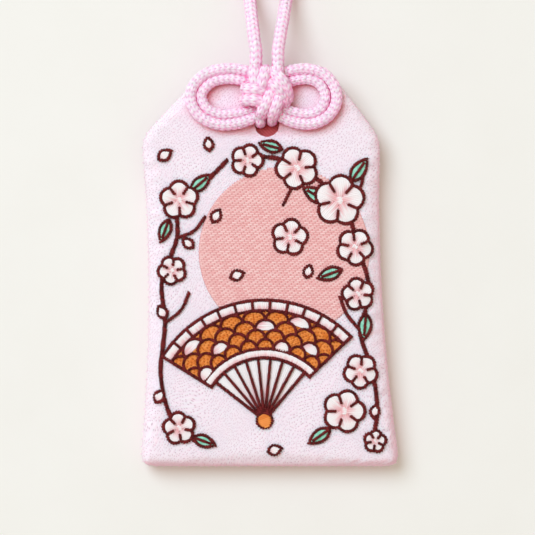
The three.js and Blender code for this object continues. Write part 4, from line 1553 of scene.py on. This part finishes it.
# %% Ribs and rivet
RIBS = 9
STICK_ARCH = 0.08
RIVET_RADIUS = 1.5
RIVET_SLANT = 20
RIVET_LIFT = FIELD_LIFT + 0.2
rib_shares = np.linspace(-1, 1, RIBS)
web_stitches = []
for first, last in zip(rib_shares, rib_shares[1:]):
    field = fan_field(*STICK_REACH, first, last, STICK_HALF)
    web_stitches += stitch_rows(field, fan_angle((first + last) / 2, STICK_HALF) + 90)
sew_field("fan_sticks_threads", web_stitches, "white_thread", UNDER_LIFT, ["fan_sticks"], STICK_ARCH)
for share in rib_shares:
    rib = fan_spoke(*STICK_REACH, share, 24, STICK_HALF)
    (drawn_lines if abs(share) == 1 else fine_lines).append(rib)
rivet = round_ring(RIVET_RADIUS, fan_pivot, 24)
sew_field("fan_rivet_threads", stitch_rows(rivet, RIVET_SLANT), "orange_thread", RIVET_LIFT)
drawn_lines.append(closed(rivet))

# %% [markdown]
# ### Boughs and drawn lines
# Two boughs run behind the blossoms and hold the picture together. Each is a smooth line through a few
# points, left out where a motif covers it, because a bough is sewn only where it shows. The boughs and
# every outline are the same dark thread.

# %% Boughs and outlines
boughs = [
    [(20.6, -36.0), (22.0, -29.0), (21.0, -20.5), (18.6, -12.5), (20.5, -5.0), (18.4, 3.5), (15.5, 12.0),
     (9.0, 18.5), (1.5, 22.0), (-5.5, 21.8)],
    [(-13.0, -35.5), (-18.5, -31.0), (-21.2, -22.0), (-20.4, -11.0), (-21.0, -2.5), (-18.0, 6.0),
     (-17.6, 13.0), (-12.0, 17.5), (-8.0, 21.5)],
]
twigs = [
    [(18.6, -12.5), (15.8, -9.0), (14.6, -5.8)], [(15.5, 12.0), (18.6, 16.0), (19.4, 19.6)],
    [(-20.4, -11.0), (-17.2, -8.4), (-15.6, -5.0)], [(-18.0, 6.0), (-14.6, 7.4), (-12.4, 10.2)],
    [(9.0, 18.5), (5.4, 16.4), (3.2, 12.6)],
]
motif_rings = [*sewn_rings, fan_field(LEAF_BANDS[0], FAN_RADIUS, -1, 1)]
bough_lines = [part for points in boughs for part in outside(smooth_line(points, 24), motif_rings)]
twig_lines = [part for points in twigs for part in outside(smooth_line(points, 12), motif_rings)]
sew_lines("bough_threads", bough_lines, lift=0.18, width=1.32)
sew_lines("outline_threads", [*drawn_lines, *twig_lines], lift=0.28, width=0.96)
sew_lines("fine_line_threads", fine_lines, lift=0.52, width=0.74, pitch=0.40)

# %% [markdown]
# ## The seam
# The front and the back are sewn together along their edge with small slanted whip stitches. The tree of
# the drawn lines can do this too: its stitches get an upward share, so that they climb over the edge.

# %% Seam stitches
SEAM_PITCH = 1.5
SEAM_STITCH = 1.5
SEAM_WIDTH = 0.30
SEAM_SLANT = 70
SEAM_CLIMB = 3.0
SEAM_SEED = 8
SEAM_OUT = -0.02


def seam_line():
    """The edge of the bag at the height where front and back meet, pushed out to the cloth's face."""
    along = np.roll(outline, -1, axis=0) - np.roll(outline, 1, axis=0)
    outward = np.column_stack([along[:, 1], -along[:, 0]]) / np.linalg.norm(along, axis=1)[:, None]
    heights = seam_height(outline[:, 1])
    return np.column_stack([outline + SEAM_OUT * outward, heights]) * MM


seam_thread = finish_of("seam_thread", paint_thread("f0c9dc", "fdeaf4"))
seam = rope_stitches(
    "seam_stitches", [closed(seam_line())], seam_thread, SEAM_SEED, SEAM_PITCH, SEAM_STITCH, SEAM_WIDTH,
    SEAM_SLANT, SEAM_CLIMB,
)
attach(seam, "bag")

# %% [markdown]
# ## Inside the bag
# Little of the inside shows, only a glimpse of the red lining through the cord hole, but the charm can be
# opened up by moving its parts, so each layer is made as it is sewn: two linings and a sheet of wadding
# that follow the outer cloth, one inside the other. The card, the paper wrapper and the cedar slip are flat
# and plain, so their solids are right as they are and only get a finish.


# %% Finishes of the inside
def paint_lining(board):
    twill = board.wire("ShaderNodeTexWave", {"bands_direction": "DIAGONAL"}, {
        "Vector": board.place(), "Scale": 900.0, "Distortion": 0.6, "Detail": 1.0,
    })
    return {
        "Base Color": board.mix(twill, rgb("de5c60"), rgb("ec7175")), "Roughness": 0.6, "Sheen Weight": 0.2,
        "Normal": board.bump(twill, strength=0.3, depth=0.05),
    }


def paint_wadding(board):
    fluff = board.noise(board.place(), scale=900.0, detail=8.0)
    return {
        "Base Color": board.mix(fluff, rgb("e6e2d8"), rgb("faf8f2")), "Roughness": 0.95, "Sheen Weight": 0.4,
        "Normal": board.bump(fluff, strength=0.6, depth=0.2),
    }


def paint_board(dark, light, grain_stretch, strength):
    """A finish for card, paper and wood: streaks of noise, drawn out along the height of the bag."""
    def paint(board):
        drawn_out = board.wire("ShaderNodeMapping", sockets={
            "Vector": board.place(), "Scale": (1.0, grain_stretch, 1.0),
        })
        grain = board.noise(drawn_out, scale=900.0, detail=5.0, distortion=0.6)
        return {
            "Base Color": board.mix(grain, rgb(dark), rgb(light)), "Roughness": 0.8,
            "Normal": board.bump(grain, strength, depth=0.05),
        }
    return paint


lining_cloth = finish_of("lining_cloth", paint_lining)
wadding = finish_of("wadding", paint_wadding)
inner_finishes = {
    "stiffener_card": finish_of("card", paint_board("c9b79a", "dccdb2", 0.6, 0.2)),
    "talisman_wrapper": finish_of("wrapper_paper", paint_board("ece4d3", "fbf7ec", 0.25, 0.3)),
    "talisman_slip": finish_of("cedar", paint_board("b9824f", "dcae79", 0.06, 0.35)),
}
for node, finish in inner_finishes.items():
    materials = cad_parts[node].data.materials
    materials.clear()
    materials.append(finish)
print(len(inner_finishes), "solids finished")

# %% Linings and wadding
LAYER_GAP = 0.12
LINING = 0.25
LINING_INSET = 1.3
WADDING = 0.9
WADDING_INSET = 2.0
INNER_STEP = 1.2


def inner_panel(name, node, height, drop, thickness, inset, hole, finish):
    """A layer that follows the outer cloth at a distance, drop, to its inner side."""
    points, faces = panel_grid(inset, INNER_STEP)
    edge = edge_distance(points)
    inward = -1 if height is front_height else 1
    surface = np.column_stack([points, height(*points.T, edge) + inward * drop])
    panel = sew_panel(name, surface, faces[:, ::-inward], thickness, hole, finish)
    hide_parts(node)
    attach(panel, "bag")
    return panel


lining_drop = CLOTH + LAYER_GAP
for side, height, hole, inside in (
    ("front", front_height, front_hole, "padding"), ("back", back_height, back_hole, "talisman_wrapper"),
):
    lining = inner_panel(
        side + "_lining_cloth", side + "_lining", height, lining_drop, LINING, LINING_INSET, hole,
        lining_cloth,
    )
wadding_sheet = inner_panel(
    "wadding_sheet", "padding", front_height, lining_drop + LINING + LAYER_GAP, WADDING, WADDING_INSET,
    front_hole, wadding,
)
